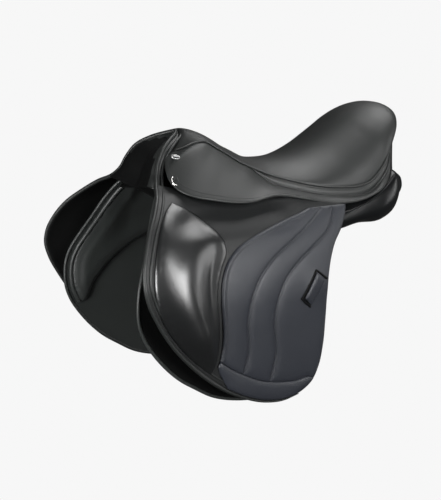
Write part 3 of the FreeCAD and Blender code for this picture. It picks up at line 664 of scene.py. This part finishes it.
# Near half of the front edge, from the crown of the head down the front of the flap: x, y, z.
FRONT_EDGE = (
    (0, -181, 181), (14, -190, 177), (34, -213, 168), (50, -236, 153), (59, -250, 132), (68, -258, 112),
    (84, -267, 97), (112, -281, 84), (142, -302, 63), (168, -325, 38), (186, -341, 11), (198, -351, -16),
    (204, -353, -42), (204, -346, -70), (202, -330, -103), (200, -305, -143), (198, -272, -182),
    (196, -236, -216), (195, -196, -246),
)

# Rows across the seat: the mid line's y and z, then the near rim's x, y and z.
SEAT_ROWS = (
    (-178, 179, 40, -212, 154), (-172, 184, 50, -196, 160), (-160, 183, 55, -178, 168),
    (-145, 178, 58, -158, 170), (-125, 168, 61, -135, 158), (-105, 155, 64, -110, 143),
    (-83, 144, 68, -86, 128), (-58, 131, 72, -60, 116), (-36, 124, 80, -36, 105),
    (10, 119.5, 96, 12, 90), (50, 122.5, 111, 58, 79), (88, 134, 120, 101, 74),
    (118, 148, 125, 137, 73), (143, 162, 127, 163, 78), (168, 177, 125, 190, 97),
    (193, 192, 120, 213, 122), (220, 205, 108, 238, 150), (244, 212, 90, 261, 175),
    (262, 214.5, 65, 277, 189), (275, 212, 36, 285, 195), (284, 206, 14, 288.5, 196.5),
    (287.5, 200, 3, 289, 197),
)
SEAT_END = (0.0, 289.0, 197.0)

SEAT_LINES = smooth_line(SEAT_ROWS, 5.0)
RIM = np.vstack([SEAT_LINES[:, 2:], SEAT_END])

# Lower edge of the near skirt, from its front corner to the cantle.
SKIRT_EDGE = (
    (47, -222, 151), (63, -236, 139), (82, -245, 124), (101, -245, 105), (119, -237, 94), (134, -220, 86),
    (144, -189, 79), (150, -148, 72), (150, -111, 70), (146, -86, 73), (143, -63, 75), (143, -35, 72),
    (147, 7, 63), (149, 46, 54), (152, 83, 50), (152, 116, 50), (148, 152, 56), (142, 185, 67),
    (130, 211, 86), (117, 225, 110),
)

# The flap is bent round a fore-and-aft axis, given by its x and z, and leans in below it.
FLAP_AXIS = (-61.5, -100.0)
FLAP_RADIUS = 260.5
FLAP_LEAN = 7.0


def flap_middle(z):
    """x of the flap's outer face behind its flared front edge."""
    drop = np.clip(z - FLAP_AXIS[1], 0, 255)
    curve = FLAP_AXIS[0] + np.sqrt(FLAP_RADIUS**2 - drop**2)
    below = np.clip(FLAP_AXIS[1] - z, 0, None)
    return curve - FLAP_LEAN * (below / 190.0) ** 1.5


FRONT_LINE = smooth_line(FRONT_EDGE, 2.0)
FLAP_FRONT = FRONT_LINE[FRONT_LINE[:, 2] < 101]
FLARE_WIDTH = 80.0
HOLLOW_DEPTH = 17.0


def flap_surface(y, z):
    """x of the flap's outer face: a bent sheet, flared out along its front edge.

    Behind that edge, under the skirt, it has a shallow hollow."""
    order = np.argsort(FLAP_FRONT[:, 2])
    front_x = np.interp(z, FLAP_FRONT[order, 2], FLAP_FRONT[order, 0])
    front_y = np.interp(z, FLAP_FRONT[order, 2], FLAP_FRONT[order, 1])
    share = smooth_step((y - front_y) / FLARE_WIDTH)
    hollow = HOLLOW_DEPTH * smooth_step((z - 8.0) / 52.0)
    hollow = hollow * smooth_step((y - front_y - 12.0) / 120.0) * smooth_step((-10.0 - y) / 60.0)
    return front_x * (1 - share) + flap_middle(z) * share - hollow


# The sweat flap is bent in the same way, and dips in under the head.
SWEAT_AXIS = (-95.0, -90.0)
SWEAT_RADIUS = 244.8
SWEAT_DIP = 13.0


def sweat_surface(y, z):
    """x of the middle of the sweat flap."""
    drop = np.clip(z - SWEAT_AXIS[1], 0, 240)
    x = SWEAT_AXIS[0] + np.sqrt(SWEAT_RADIUS**2 - drop**2)
    return x - SWEAT_DIP * bell(z - 25.0, 55.0) * smooth_step((-215.0 - y) / 60.0)


# ---- seat

SEAT_THICKNESS = 6.0
SEAT_PUFF = 1.5


def seat():
    """Crowned seat, spoon shaped at the cantle, with a rolled rim over the welt."""
    shares = np.sin(np.linspace(-math.pi / 2, math.pi / 2, 61))
    side = np.abs(shares)
    rows = []
    for my, mz, rx, ry, rz in SEAT_LINES:
        roundness = 1.0 - 0.5 * smooth_step((my + 20.0) / 180.0)
        x = rx * shares
        y = my + (ry - my) * side**2
        z = rz + (mz - rz) * (1 - side**2.3) ** roundness
        rows.append(np.stack([x, y, z], axis=1))
    cover = thick_grid("seat_leather_cover", np.array(rows), SEAT_THICKNESS, SEAT_LEATHER,
                       (0, 0, FAR), steps=6)

    def free(places):
        low = np.interp(places[:, 1], SEAT_LINES[:, 3], SEAT_LINES[:, 4])
        return places[:, 2] > low + 9.0

    inflate(cover, free, 2.0, SEAT_PUFF)
    one(cover, ("seat_cover", "seat_foam"))


def offset_line(line, out, down):
    """Line moved sideways away from the seat's mid line and down."""
    tangent = np.gradient(line, axis=0)
    moved = line + unit(np.stack([tangent[:, 1], -tangent[:, 0], np.zeros(len(line))], axis=1)) * out
    moved[:, 2] -= down
    return moved


GUSSET_DEPTH = 15.0
CANTLE_TUCK = 12.0


def gusset_depth(line):
    """Height of the strip between the two welts: none at the pommel, full from the waist on."""
    return GUSSET_DEPTH * smooth_step((line[:, 1] + 75.0) / 60.0) + 1.0


def seat_trim():
    """Piped welt round the rim, the gusset under it and the second welt."""
    tuck = CANTLE_TUCK * smooth_step((RIM[:, 1] - 200.0) / 50.0)[:, None]
    pair(tube("seat_welt", offset_line(RIM, 1.0 - tuck * 0.5, 3.0), 2.3, SEAT_LEATHER))
    depth = gusset_depth(RIM)
    top = offset_line(RIM, -tuck * 0.5, 4.0)
    mid = offset_line(RIM, 4.0 - tuck, 4.0 + depth * 0.5)
    low = offset_line(RIM, 3.5 - tuck, 4.0 + depth)
    grid = np.stack([resample(row, 9) for row in np.stack([top, mid, low], axis=1)])
    band = thick_grid("seat_gusset_band", grid, 3.0, SEAT_LEATHER, (FAR, 0, 0))
    pair(band, ("seat_gusset",))
    keep = RIM[:, 1] > -62
    second = offset_line(RIM, 4.5 - tuck, 4.0 + depth)[keep]
    pair(tube("skirt_welt", second, 2.0, SEAT_LEATHER))


# ---- skirts

SKIRT_THICKNESS = 4.4


def skirt_grid():
    """Rows of points from the welt down to the skirt's edge, slightly arched between."""
    top = offset_line(RIM, 3.0, 5.0 + gusset_depth(RIM))
    top = top[top[:, 1] < 226]
    top = top[:np.argmax(top[:, 1]) + 1]
    edge = smooth_line(SKIRT_EDGE, 3.0)
    count = 160
    rows = []
    for a, b in zip(resample(top, count), resample(edge, count)):
        across = b - a
        out = unit(np.array([-across[2], 0.0, across[0]]))
        out = out * min(np.linalg.norm(across) * 0.10, 8.0)
        t = np.linspace(0, 1, 28)[:, None]
        rows.append(a + across * t + out * 4 * t * (1 - t) * (1 - 0.35 * t))
    return np.array(rows)


def skirt():
    grid = skirt_grid()
    sheet = thick_grid("skirt_leather", grid, SKIRT_THICKNESS, SEAT_LEATHER, (FAR, 0, FAR), steps=6)
    pair(sheet, ("skirt", "skirt_upper", "skirt_tail"), fold="skirt")
    normals = grid_normals(grid)
    if normals[:, :, 2].mean() < 0:
        normals = -normals
    row = stitches("skirt_stitching", grid[2:-2, -3], normals[2:-2, -3], SEAT_LEATHER, 0.35)
    pair(row, fold="skirt")


# ---- flaps

# Outlines and seams of the near flap in its y-z plane. FLAP_REST goes on from the front edge
# round the bottom and up the rear, and LIP is the front edge of the overlay.
FLAP_REST = (
    (-196, -246), (-160, -266), (-113, -284), (-70, -289), (-36, -282), (-10, -264), (4, -236),
    (11, -200), (14, -150), (16, -105), (20, -70), (28, -42), (42, -16), (62, 6), (80, 30),
    (88, 44),
)
LIP = (
    (0, 46), (-42, 34), (-92, 22), (-136, 10), (-167, -3), (-190, -22), (-204, -48), (-209, -82),
    (-207, -120), (-206, -156), (-211, -190),
)
SEAM_TWO = (
    (26, 43), (-22, 14), (-64, -8), (-99, -28), (-129, -55), (-149, -91), (-157, -134),
    (-154, -180), (-163, -224),
)
SEAM_THREE = (
    (52, 40), (30, 10), (-6, -14), (-44, -37), (-74, -62), (-94, -98), (-101, -144),
    (-96, -196), (-107, -246),
)
HEM_TOP = (
    (-211, -190), (-190, -206), (-160, -224), (-125, -241), (-85, -251), (-48, -255),
    (-20, -253), (-9, -258),
)
FLAP_CENTRE = (-130.0, -90.0)
FLAP_THICKNESS = 5.0
FLAP_TOP = ((0, 66), (-120, 84), (-215, 88))
OUTER_FACE = 3.2


def loop_of(*runs):
    """Closed outline out of runs that follow each other, without repeated corners."""
    points = [np.array(runs[0])]
    for run in runs[1:]:
        points.append(np.array(run)[1:])
    return np.concatenate(points)


def inset(line, amount):
    """Plane line moved to the side that faces the middle of the flap."""
    tangent = np.gradient(line, axis=0)
    normal = unit(np.stack([tangent[:, 1], -tangent[:, 0]], axis=1))
    return line + normal * amount * np.sign(((np.array(FLAP_CENTRE) - line) * normal).sum())


def on_flap(line, height):
    """Plane line placed at a height over the flap's outer face, with the normals there."""
    base, normal = surface_frame(flap_surface, line)
    return base + normal * np.broadcast_to(height, len(line))[:, None], normal


def flap():
    """Plain base sheet of the flap, with painted shade: near-black leather on the side that faces the
    horse.
    """
    front = FLAP_FRONT[:, 1:]
    rest = smooth_line(FLAP_REST, 3.0)
    top = resample(np.array([rest[-1], *FLAP_TOP, front[0]]), 90)
    half = FLAP_THICKNESS / 2
    sheet = pillow("flap_leather", loop_of(front, rest, top)[:-1],
                   lambda y, z: flap_surface(y, z) - half, half, SMOOTH_LEATHER, spacing=4.0, rim=2.4)
    # The faces towards the horse get the near-black leather: painted shade.
    two_faced(sheet, SHADE_LEATHER, -1)
    pair(sheet, ("flap", "flap_top"), fold="flap")
    edge, normal = on_flap(inset(rest, 13.0)[4:-6], -FLAP_THICKNESS)
    pair(stitches("flap_inner_stitching", edge, -normal, THREAD), fold="flap")


# The keeper: its corners, the middle of the soft rise in the overlay that carries it, the size
# of that rise, and the heights of the tab at its joined edge and more at its free one.
KEEPER_CORNERS = ((-15, -60), (-43, -101), (-27, -116), (4, -75))
KEEPER_RISE = (-12.0, -82.0)
KEEPER_RISE_SIZE = (30.0, 34.0)
KEEPER_LIFT, KEEPER_OPEN = 8.2, 3.0
# Height over the overlay of the near-black tube round the tab's three free sides, which paints the shade
# of the slot under the tab.
SLOT_SHADE_RISE = 4.6


def overlay_height(spots, distance, lip, seams):
    """Padding between the seams, the grooves along them, the rolled lip and the keeper's rise."""
    near = np.minimum(distance_to(spots, seams[0]), distance_to(spots, seams[1]))
    edge = np.minimum(near, distance)
    puff = 2.6 * (1 - np.exp(-edge / 8.0))
    groove = -1.7 * bell(near, 1.3)
    lip_roll = 2.2 * bell(distance_to(spots, lip) - 3.4, 2.4)
    off_rise = (spots - np.array(KEEPER_RISE)) / np.array(KEEPER_RISE_SIZE)
    return puff + groove + lip_roll + 3.4 * np.exp(-1.5 * (off_rise ** 2).sum(axis=1))


def overlay():
    """Outer layer of the flap, sewn down along curved seams and padded between them."""
    lip = smooth_line(LIP, 2.5)
    hem_line = smooth_line(HEM_TOP, 2.5)
    back = inset(smooth_line(FLAP_REST, 3.0), 3.2)
    back = back[nearest(back, hem_line[-1]):]
    outline = loop_of(lip, hem_line, back, resample(np.array([back[-1], lip[0]]), 30))[:-1]
    seams = [smooth_line(SEAM_TWO, 2.5), smooth_line(SEAM_THREE, 2.5)]
    sheet = pillow("flap_overlay_leather", outline, flap_surface, OUTER_FACE / 2, FLAP_LEATHER,
                   relief=lambda spots, distance: overlay_height(spots, distance, lip, seams),
                   spacing=2.8, rim=1.8, lift=OUTER_FACE / 2, lines=seams)
    pair(sheet, ("flap_overlay",), fold="flap")
    closed = np.vstack([outline, outline[:1]])
    rows = []
    lines = [inset(lip, 7.0)[6:-4], inset(back, 4.0)[4:-8]]
    lines += [seam[4:-3] + (2.6, -1.0) for seam in seams]
    for number, line in enumerate(lines):
        height = OUTER_FACE + overlay_height(line, distance_to(line, closed), lip, seams)
        places, normals = on_flap(line, height)
        rows.append(stitches("row_%d" % number, places, normals, THREAD))
    pair(join("flap_stitching", rows), fold="flap")


def hem():
    """Band with rounded ends along the bottom of the flap."""
    top = smooth_line(HEM_TOP, 2.5)
    rest = inset(smooth_line(FLAP_REST, 3.0), 3.4)
    low = rest[:nearest(rest, top[-1]) + 1]
    low = low[low[:, 0] > -203]
    start = resample(np.array([top[0], (-215, -199), (-211, -212), low[0]]), 12)
    outline = loop_of(top[::-1], start, low)[:-1]
    band = pillow("flap_hem", outline, flap_surface, 2.0, FLAP_LEATHER,
                  relief=lambda spots, distance: 3.0 * (1 - np.exp(-distance / 5.0)),
                  spacing=2.6, rim=2.2, lift=2.0)
    pair(band, rides="flap")


def keeper():
    """Tab that holds the end of the stirrup leather: free along three cut sides, joined behind."""
    corners = np.array(KEEPER_CORNERS + KEEPER_CORNERS[:1], float)
    outline = np.concatenate([resample(corners[k:k + 2], 16)[:-1] for k in range(4)])
    hinge = corners[2:4]

    def lift(spots):
        return KEEPER_LIFT + KEEPER_OPEN * smooth_step(distance_to(spots, hinge) / 20.0)

    tab = pillow("stirrup_keeper_tab", outline, flap_surface, 1.5, FLAP_LEATHER,
                 relief=lambda spots, distance: 0.8 * smooth_step(distance / 6.0),
                 spacing=2.0, rim=1.5, lift=lift)
    pair(tab, ("stirrup_keeper",), rides="flap")
    # Near-black tube just outside the tab's three free sides: painted shade standing for the slot under
    # the tab.
    middle = corners[:4].mean(axis=0)
    around = middle + (corners[[3, 0, 1, 2]] - middle) * (1.16, 1.12)
    slot_shade_line = np.concatenate([resample(around[k:k + 2], 16)[:-1] for k in range(3)] + [around[3:]])
    places = on_flap(slot_shade_line, OUTER_FACE + SLOT_SHADE_RISE)[0]
    pair(tube("stirrup_keeper_slot_shade", places, 2.0, SHADE_LEATHER), rides="flap")


BLOCK_FRONT = (
    (-262, 76), (-282, 64), (-302, 44), (-319, 18), (-331, -12), (-336, -44), (-332, -76),
    (-319, -108), (-295, -144), (-265, -178), (-228, -210),
)
BLOCK_BACK = (
    (-228, -210), (-218, -190), (-213, -158), (-213, -120), (-216, -86), (-212, -54),
    (-201, -28), (-189, -8), (-188, 10), (-199, 30), (-222, 54), (-262, 76),
)
BLOCK_HEIGHT = 24.0
BLOCK_ROLL = 8.5


def block():
    """Moulded knee block: a long swell, a valley, and a second roll along its back edge."""
    front = smooth_line(BLOCK_FRONT, 2.5)
    back = smooth_line(BLOCK_BACK, 2.5)

    def relief(spots, distance):
        from_front = distance_to(spots, front)
        from_back = distance_to(spots, back)
        share = from_front / np.maximum(from_front + from_back, 1e-6)
        z = spots[:, 1]
        height = smooth_step((z + 210.0) / 80.0) * smooth_step((64.0 - z) / 110.0)
        swell = BLOCK_HEIGHT * height * np.sin(np.pi * np.clip(share / 0.86, 0, 1))
        roll = BLOCK_ROLL * smooth_step((z + 195.0) / 60.0) * smooth_step((56.0 - z) / 50.0)
        return swell + roll * bell(from_back - 5.5, 4.5) + 2.5 * smooth_step(distance / 6.0)

    body = pillow("knee_block_leather", loop_of(front, back)[:-1], flap_surface, 1.5, CALF_LEATHER,
                  relief=relief, spacing=3.0, rim=2.0, lift=1.5, rounds=14)

    def free(places):
        spots = places[:, 1:]
        outer = places[:, 0] > flap_surface(spots[:, 0], spots[:, 1]) + 4.0
        return (distance_to(spots, front) > 8.0) & (distance_to(spots, back) > 13.0) & outer

    inflate(body, free, 3.0, 2.0)
    pair(body, ("knee_block",), fold="flap")


ROLL_TAIL = ((193, -160, -266), (192, -113, -284), (192, -70, -289), (192, -40, -284))


def front_rolls():
    """The two rolled edges that run from the crown of the head down the front of the flap."""
    whole = smooth_line(FRONT_EDGE + ROLL_TAIL, 3.0)
    run = np.linspace(0, 1, len(whole))
    taper = 2.0 * smooth_step((run - 0.72) / 0.25) + 1.0 * smooth_step((run - 0.93) / 0.07)
    outer = tube("front_roll", whole, 3.7 - taper, SEAT_LEATHER, sides=14)
    pair(outer, fold="flap")
    inner = shifted_back(FRONT_LINE, 11.0)
    inner = resample(inner[:-6], 170)
    run = np.linspace(0, 1, len(inner))
    bead = tube("front_bead", inner, 2.7 - 0.9 * smooth_step((run - 0.85) / 0.15), SEAT_LEATHER, sides=14)
    pair(bead, fold="flap")


def shifted_back(line, amount):
    """Front edge moved back over the leather, square to its run."""
    tangent = unit(np.gradient(line, axis=0))
    return line + unit(np.array([0.0, 1.0, 0.0]) - tangent * tangent[:, 1:2]) * amount


# ---- sweat flaps and panels

SWEAT_FRONT = (
    (-240, 112), (-252, 94), (-266, 76), (-282, 50), (-298, 18), (-314, -14), (-328, -42),
    (-336, -66), (-339, -92), (-337, -120), (-328, -146), (-312, -172), (-288, -202),
    (-262, -227), (-232, -248), (-196, -270), (-150, -285), (-104, -291), (-60, -285),
    (-24, -264), (-4, -232), (4, -190), (8, -130), (14, -66), (34, -16), (62, 24), (68, 40),
)
SWEAT_TOP = ((20, 60), (-120, 63), (-206, 66), (-226, 100))
# The front edge's rolled part ends at the first of these places, and the knee pad at the second.
ROLL_END, PAD_END = (-60, -285), (-320, -160)
PAD_CREASE = (
    (-292, -140), (-285, -122), (-272, -105), (-244, -77), (-206, -50), (-162, -28),
    (-130, -10), (-108, 16),
)
PAD_BOTTOM = ((-309, -153), (-298, -150))
PAD_TOP = ((-106, 58), (-206, 66), (-222, 98))
PAD_INSET = 12.0


def sweat():
    """Under flap with a rolled edge, and the soft knee pad sewn to the front of its inner face."""
    front = smooth_line(SWEAT_FRONT, 3.0)
    top = resample(np.array([front[-1], *SWEAT_TOP, front[0]]), 70)
    sheet = pillow("sweat_flap_leather", loop_of(front, top)[:-1], sweat_surface, 1.6, LINING_LEATHER,
                   spacing=4.5, rim=1.6)
    # The face turned to the flap above it gets the near-black leather: painted shade.
    two_faced(sheet, SHADE_LEATHER, 1)
    pair(sheet, ("sweat_flap",))
    edge = front[:nearest(front, ROLL_END)]
    pair(tube("sweat_flap_roll", on_sweat(edge, 0.0), 3.2, LINING_LEATHER))
    rim = front[:nearest(front, PAD_END)]
    pad_front = inset(rim, PAD_INSET)
    crease = smooth_line(PAD_CREASE, 3.0)
    bottom = smooth_line((tuple(rim[-1]), *PAD_BOTTOM, tuple(crease[0])), 3.0)[1:]
    close = resample(np.array([crease[-1], *PAD_TOP, pad_front[0]]), 60)

    def relief(spots, distance):
        from_crease = distance_to(spots, crease)
        swell = 7.0 * smooth_step(distance / 26.0)
        ridge = 6.0 * smooth_step(from_crease / 7.0) * np.exp(-from_crease / 30.0)
        seam = -2.4 * bell(distance_to(spots, rim) - 26.0, 1.8)
        return swell + ridge + seam + 3.5 * smooth_step(distance / 4.0)

    pad = pillow("sweat_flap_pad", loop_of(pad_front, bottom, crease, close)[:-1], sweat_surface, 1.2,
                 LINING_LEATHER, relief=relief, spacing=3.0, rim=2.0, lift=-2.6, rounds=3, inner=True)
    pair(pad)
    bead = on_sweat(inset(rim, 10.5)[3:], -4.5)
    pair(tube("sweat_flap_bead", bead, 4.2, LINING_LEATHER))


def on_sweat(line, lift):
    base, normal = surface_frame(sweat_surface, line)
    return base + normal * lift


# Rows of the near panel: y, then x and z round the section, from the top over the outer face.
PANEL_ROWS = (
    (-246, ((54, 80), (78, 58), (98, 26), (90, 6), (68, 34), (46, 66))),
    (-190, ((56, 74), (90, 44), (122, -10), (108, -32), (80, 10), (44, 56))),
    (-100, ((54, 68), (90, 40), (127, -30), (112, -50), (82, 0), (42, 46))),
    (0, ((54, 56), (90, 34), (124, -16), (108, -36), (82, -2), (42, 34))),
    (90, ((60, 46), (98, 34), (120, 6), (104, -12), (80, -3), (42, 28))),
    (160, ((76, 50), (124, 38), (129, 12), (104, -6), (68, 0), (42, 28))),
    (215, ((80, 76), (124, 60), (129, 24), (106, -4), (68, 2), (44, 42))),
    (248, ((78, 90), (110, 82), (119, 50), (101, 13), (70, 18), (49, 60))),
    (264, ((76, 82), (96, 77), (103, 54), (88, 32), (71, 38), (59, 64))),
)
PANEL_WELT = (
    (122, 96, 20), (129, 130, 29), (132, 160, 40), (130, 190, 54), (125, 214, 68), (116, 238, 84),
)
# Rings that round off a panel's end: size as a share of its last section, and distance from it.
PANEL_END = ((0.94, 4.0), (0.8, 8.5), (0.55, 12.0), (0.25, 14.0))
PANEL_SIDES = 48


def ring(points, count):
    """Smooth closed line through points."""
    p = np.array(points, float)
    line = smooth_line(np.concatenate([p[-2:], p, p[:3]]), 1.0)
    start = nearest(line, p[0])
    end = start + 5 + nearest(line[start + 5:], p[0])
    return resample(line[start:end + 1], count + 1)[:-1]


def panel():
    """Stuffed panel that rests on the horse, with a piped seam along its outer top edge."""
    sections = []
    for y, points in PANEL_ROWS:
        section = ring(points, PANEL_SIDES)
        sections.append(np.stack([section[:, 0], np.full(PANEL_SIDES, y), section[:, 1]], axis=1))
    flat = np.array(sections).reshape(len(PANEL_ROWS), -1)
    rows = smooth_line(flat / 8.0, 1.0) * 8.0
    grid = resample(rows, 110).reshape(110, PANEL_SIDES, 3)
    ends = []
    for row, way in ((grid[0], -1), (grid[-1], 1)):
        centre = row.mean(axis=0)
        ends.append([centre + (row - centre) * share + np.array([0, way * depth, 0])
                     for share, depth in PANEL_END])
    grid = np.array(ends[0][::-1] + list(grid) + ends[1])
    faces = grid_faces(len(grid), PANEL_SIDES, wrap=True)
    faces += end_faces(len(grid) * PANEL_SIDES, PANEL_SIDES)
    body = outward(make_mesh("panel_leather", grid.reshape(-1, 3), faces, PANEL_LEATHER))
    inflate(body, lambda places: (places[:, 2] < 30.0) | (places[:, 1] > 170.0), 2.0, 3.0)
    pair(body, ("panel",))
    pair(tube("panel_welt", smooth_line(PANEL_WELT, 3.0), 2.0, PANEL_LEATHER))


# ---- facings and small pieces

FACING_THICKNESS = 3.0
# Lower edge of the near half of the leather behind the cantle.
CANTLE_LOW = (
    (124, 204, 82), (118, 222, 86), (106, 238, 90), (84, 259, 86), (60, 272, 84), (30, 281, 90),
    (0, 284, 94),
)
# Steps of the pommel facing's section: along the inward and downward way from the front edge,
# then back and up from there. Faces farther from the edge than the distance below get the
# near-black leather: painted shade deep inside the head.
POMMEL_SECTION = ((0, 28, -10), (0, 14, -5), (0, 2, -1), (11, 4, 0), (19, 14, 0), (19, 44, 0))
SHADE_FROM = 11.0


def cantle_facing():
    """Leather behind the cantle."""
    half = offset_line(RIM[RIM[:, 1] > 196], -7.0, 6.0)
    low_half = smooth_line(CANTLE_LOW)
    top = resample(np.concatenate([half, mirrored(half, -1)[::-1]]), 120)
    low = resample(np.concatenate([low_half, mirrored(low_half, -1)[::-1][1:]]), 120)
    t = np.linspace(0, 1, 22)[:, None]
    grid = np.array([p + (q - p) * t for p, q in zip(top, low)])
    sheet = thick_grid("cantle_facing_leather", grid, FACING_THICKNESS, CALF_LEATHER, (0, FAR, 0))
    one(sheet, ("cantle_facing",))


def pommel_facing():
    """Lining of the head behind the front edge."""
    arch = FRONT_LINE[FRONT_LINE[:, 2] > 96]
    arch = resample(np.concatenate([mirrored(arch, -1)[::-1], arch[1:]]), 90)
    rows = []
    for p in arch:
        inward = np.array([-p[0] * 0.10, 0, -1.0])
        row = [p + inward * reach + np.array([0, back, up]) for reach, back, up in POMMEL_SECTION]
        rows.append(resample(smooth_line(row, 2.0), 20))
    front = thick_grid("pommel_facing_leather", np.stack(rows), FACING_THICKNESS, SEAT_LEATHER,
                       (0, -FAR, 0))
    # Faces deep in the head get the near-black leather: painted shade.
    front.data.materials.append(SHADE_LEATHER)
    for face in front.data.polygons:
        if np.linalg.norm(arch - np.array(face.center) / MM, axis=1).min() > SHADE_FROM:
            face.material_index = 1
    one(front, ("pommel_facing",))


# Badge: half its length and width, how far it leans out and turns, and the rings of its two parts,
# each a share of its size and a height.
BADGE_HALF = (8.0, 5.0)
BADGE_LEAN = math.radians(44)
BADGE_TURN = math.radians(-14)
BADGE_SIDES = 40
BADGE_PARTS = (
    ("rim", ((1.0, -1.6), (1.0, 0.6), (0.96, 1.2), (0.88, 1.4), (0.80, 1.1), (0.78, 0.4)), PEWTER),
    ("face", ((0.79, 0.2), (0.79, 0.6), (0.6, 1.0), (0.35, 1.25), (0.1, 1.35)), ENAMEL),
)


def badge():
    """Plain oval badge: a plated rim round a dark domed face."""
    low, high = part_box("badge_near")
    centre = (np.array(low) + np.array(high)) / 2 / MM
    out = np.array([math.sin(BADGE_LEAN), 0.0, math.cos(BADGE_LEAN)])
    along = np.array([0.0, 1.0, 0.0])
    across = np.cross(out, along)
    long_way = along * math.cos(BADGE_TURN) + across * math.sin(BADGE_TURN)
    short_way = np.cross(out, long_way)
    parts = []
    for name, rows, material in BADGE_PARTS:
        vertices = []
        for share, height in rows:
            for c, s in circle(BADGE_SIDES):
                vertices.append(centre + out * height + long_way * BADGE_HALF[0] * share * c
                                + short_way * BADGE_HALF[1] * share * s)
        faces = grid_faces(len(rows), BADGE_SIDES, wrap=True)
        faces += end_faces(len(vertices), BADGE_SIDES)
        parts.append(outward(make_mesh(name, vertices, faces, material)))
    pair(join("badge_plate", parts), ("badge",))


CAD_FINISH = {
    "tree_head": WOOD, "tree_cantle": WOOD, "tree_rail": WOOD,
    "head_plate": STEEL, "gullet_plate": STEEL, "cantle_plate": STEEL, "tree_spring": STEEL,
    "tree_rivets": STEEL,
    "stirrup_bar": NICKEL, "bar_catch": NICKEL, "catch_pin": NICKEL, "dee": NICKEL,
    "seat_web": WEBBING, "girth_webs": WEBBING,
    "billet_front": LINING_LEATHER, "billet_middle": LINING_LEATHER, "billet_rear": LINING_LEATHER,
    "buckle_guard": LINING_LEATHER, "dee_chape": SEAT_LEATHER,
}


def finish_cad():
    """Gives the CAD nodes that stay visible their materials."""
    for name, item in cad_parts.items():
        plain = name.removesuffix("_near").removesuffix("_off")
        if plain in CAD_FINISH:
            item.data.materials.clear()
            item.data.materials.append(CAD_FINISH[plain])


# ---- studio

# Name, place, what it points at, width and height (metres), and power (watts) of each light.
LAMPS = (
    ("overhead", (-0.3, 0.9, 1.95), (0, 0, 0.0), (1.4, 1.3), 31),
    ("side_window", (1.75, 0.05, 0.45), (0.15, -0.15, -0.05), (0.6, 1.3), 39),
    ("rear_strip", (1.0, 1.7, 0.35), (0.0, 0.1, 0.0), (0.4, 1.2), 9),
    ("inner_fill", (0.7, -1.75, 0.15), (-0.14, -0.2, -0.05), (0.6, 0.9), 38),
)
FLOOR_DROP = 0.25
STUDIO_REACH = 8.0
STUDIO_SIDES = 48


def studio():
    """Pale floor and backdrop of one even brightness, and four soft lights."""
    pale = bpy.data.materials.new("pale")
    pale.use_nodes = True
    pale.node_tree.nodes.clear()
    glow = pale.node_tree.nodes.new("ShaderNodeEmission")
    glow.inputs["Color"].default_value = (1.0, 1.0, 1.0, 1.0)
    glow.inputs["Strength"].default_value = 0.93
    surface = pale.node_tree.nodes.new("ShaderNodeOutputMaterial")
    pale.node_tree.links.new(glow.outputs["Emission"], surface.inputs["Surface"])
    level = CAD_BOX[0].z - FLOOR_DROP
    sides = STUDIO_SIDES
    low = [(STUDIO_REACH * c, STUDIO_REACH * s, level) for c, s in circle(sides)]
    high = [(x, y, level + STUDIO_REACH) for x, y, _ in low]
    walls = [(k, (k + 1) % sides, sides + (k + 1) % sides, sides + k) for k in range(sides)]
    for name, vertices, faces in (
            ("floor", low, [tuple(range(sides))]),
            ("backdrop", low + high, walls + [tuple(range(sides, 2 * sides))])):
        mesh = bpy.data.meshes.new(name)
        mesh.from_pydata(vertices, [], faces)
        mesh.materials.append(pale)
        item = bpy.data.objects.new(name, mesh)
        bpy.context.scene.collection.objects.link(item)
        item.visible_glossy = False
        item.visible_diffuse = False
        item.visible_shadow = False
    world = bpy.data.worlds.new("studio")
    world.use_nodes = True
    sky = world.node_tree.nodes["Background"]
    sky.inputs["Color"].default_value = (1.0, 1.0, 1.0, 1.0)
    sky.inputs["Strength"].default_value = 0.05
    bpy.context.scene.world = world
    for values in LAMPS:
        lamp(*values)


def lamp(name, place, aim, size, power):
    data = bpy.data.lights.new(name, "AREA")
    data.shape = "RECTANGLE"
    data.size, data.size_y = size
    data.energy = power
    item = bpy.data.objects.new(name, data)
    item.location = place
    item.rotation_mode = "QUATERNION"
    item.rotation_quaternion = (Vector(aim) - Vector(place)).to_track_quat("-Z", "Y")
    bpy.context.scene.collection.objects.link(item)


CAMERA_AZIMUTH = math.radians(58.0)
CAMERA_ELEVATION = math.radians(13.0)
CAMERA_DISTANCE = 1.9
CAMERA_TARGET = Vector((0.0, -0.086, -0.050))
CAMERA_LENS = 72.5


def camera():
    """Camera at the photograph's viewing angle."""
    data = bpy.data.cameras.new("camera")
    data.lens = CAMERA_LENS
    item = bpy.data.objects.new("camera", data)
    across = math.cos(CAMERA_ELEVATION)
    back = Vector((math.sin(CAMERA_AZIMUTH) * across, -math.cos(CAMERA_AZIMUTH) * across,
                   math.sin(CAMERA_ELEVATION)))
    item.location = CAMERA_TARGET + back * CAMERA_DISTANCE
    item.rotation_mode = "QUATERNION"
    item.rotation_quaternion = (-back).to_track_quat("-Z", "Y")
    bpy.context.scene.collection.objects.link(item)
    bpy.context.scene.camera = item
    bpy.context.scene.view_settings.view_transform = "Standard"


# ---- build

finish_cad()
seat()
seat_trim()
cantle_facing()
pommel_facing()
skirt()
flap()
overlay()
hem()
keeper()
block()
front_rolls()
sweat()
panel()
badge()
studio()
camera()
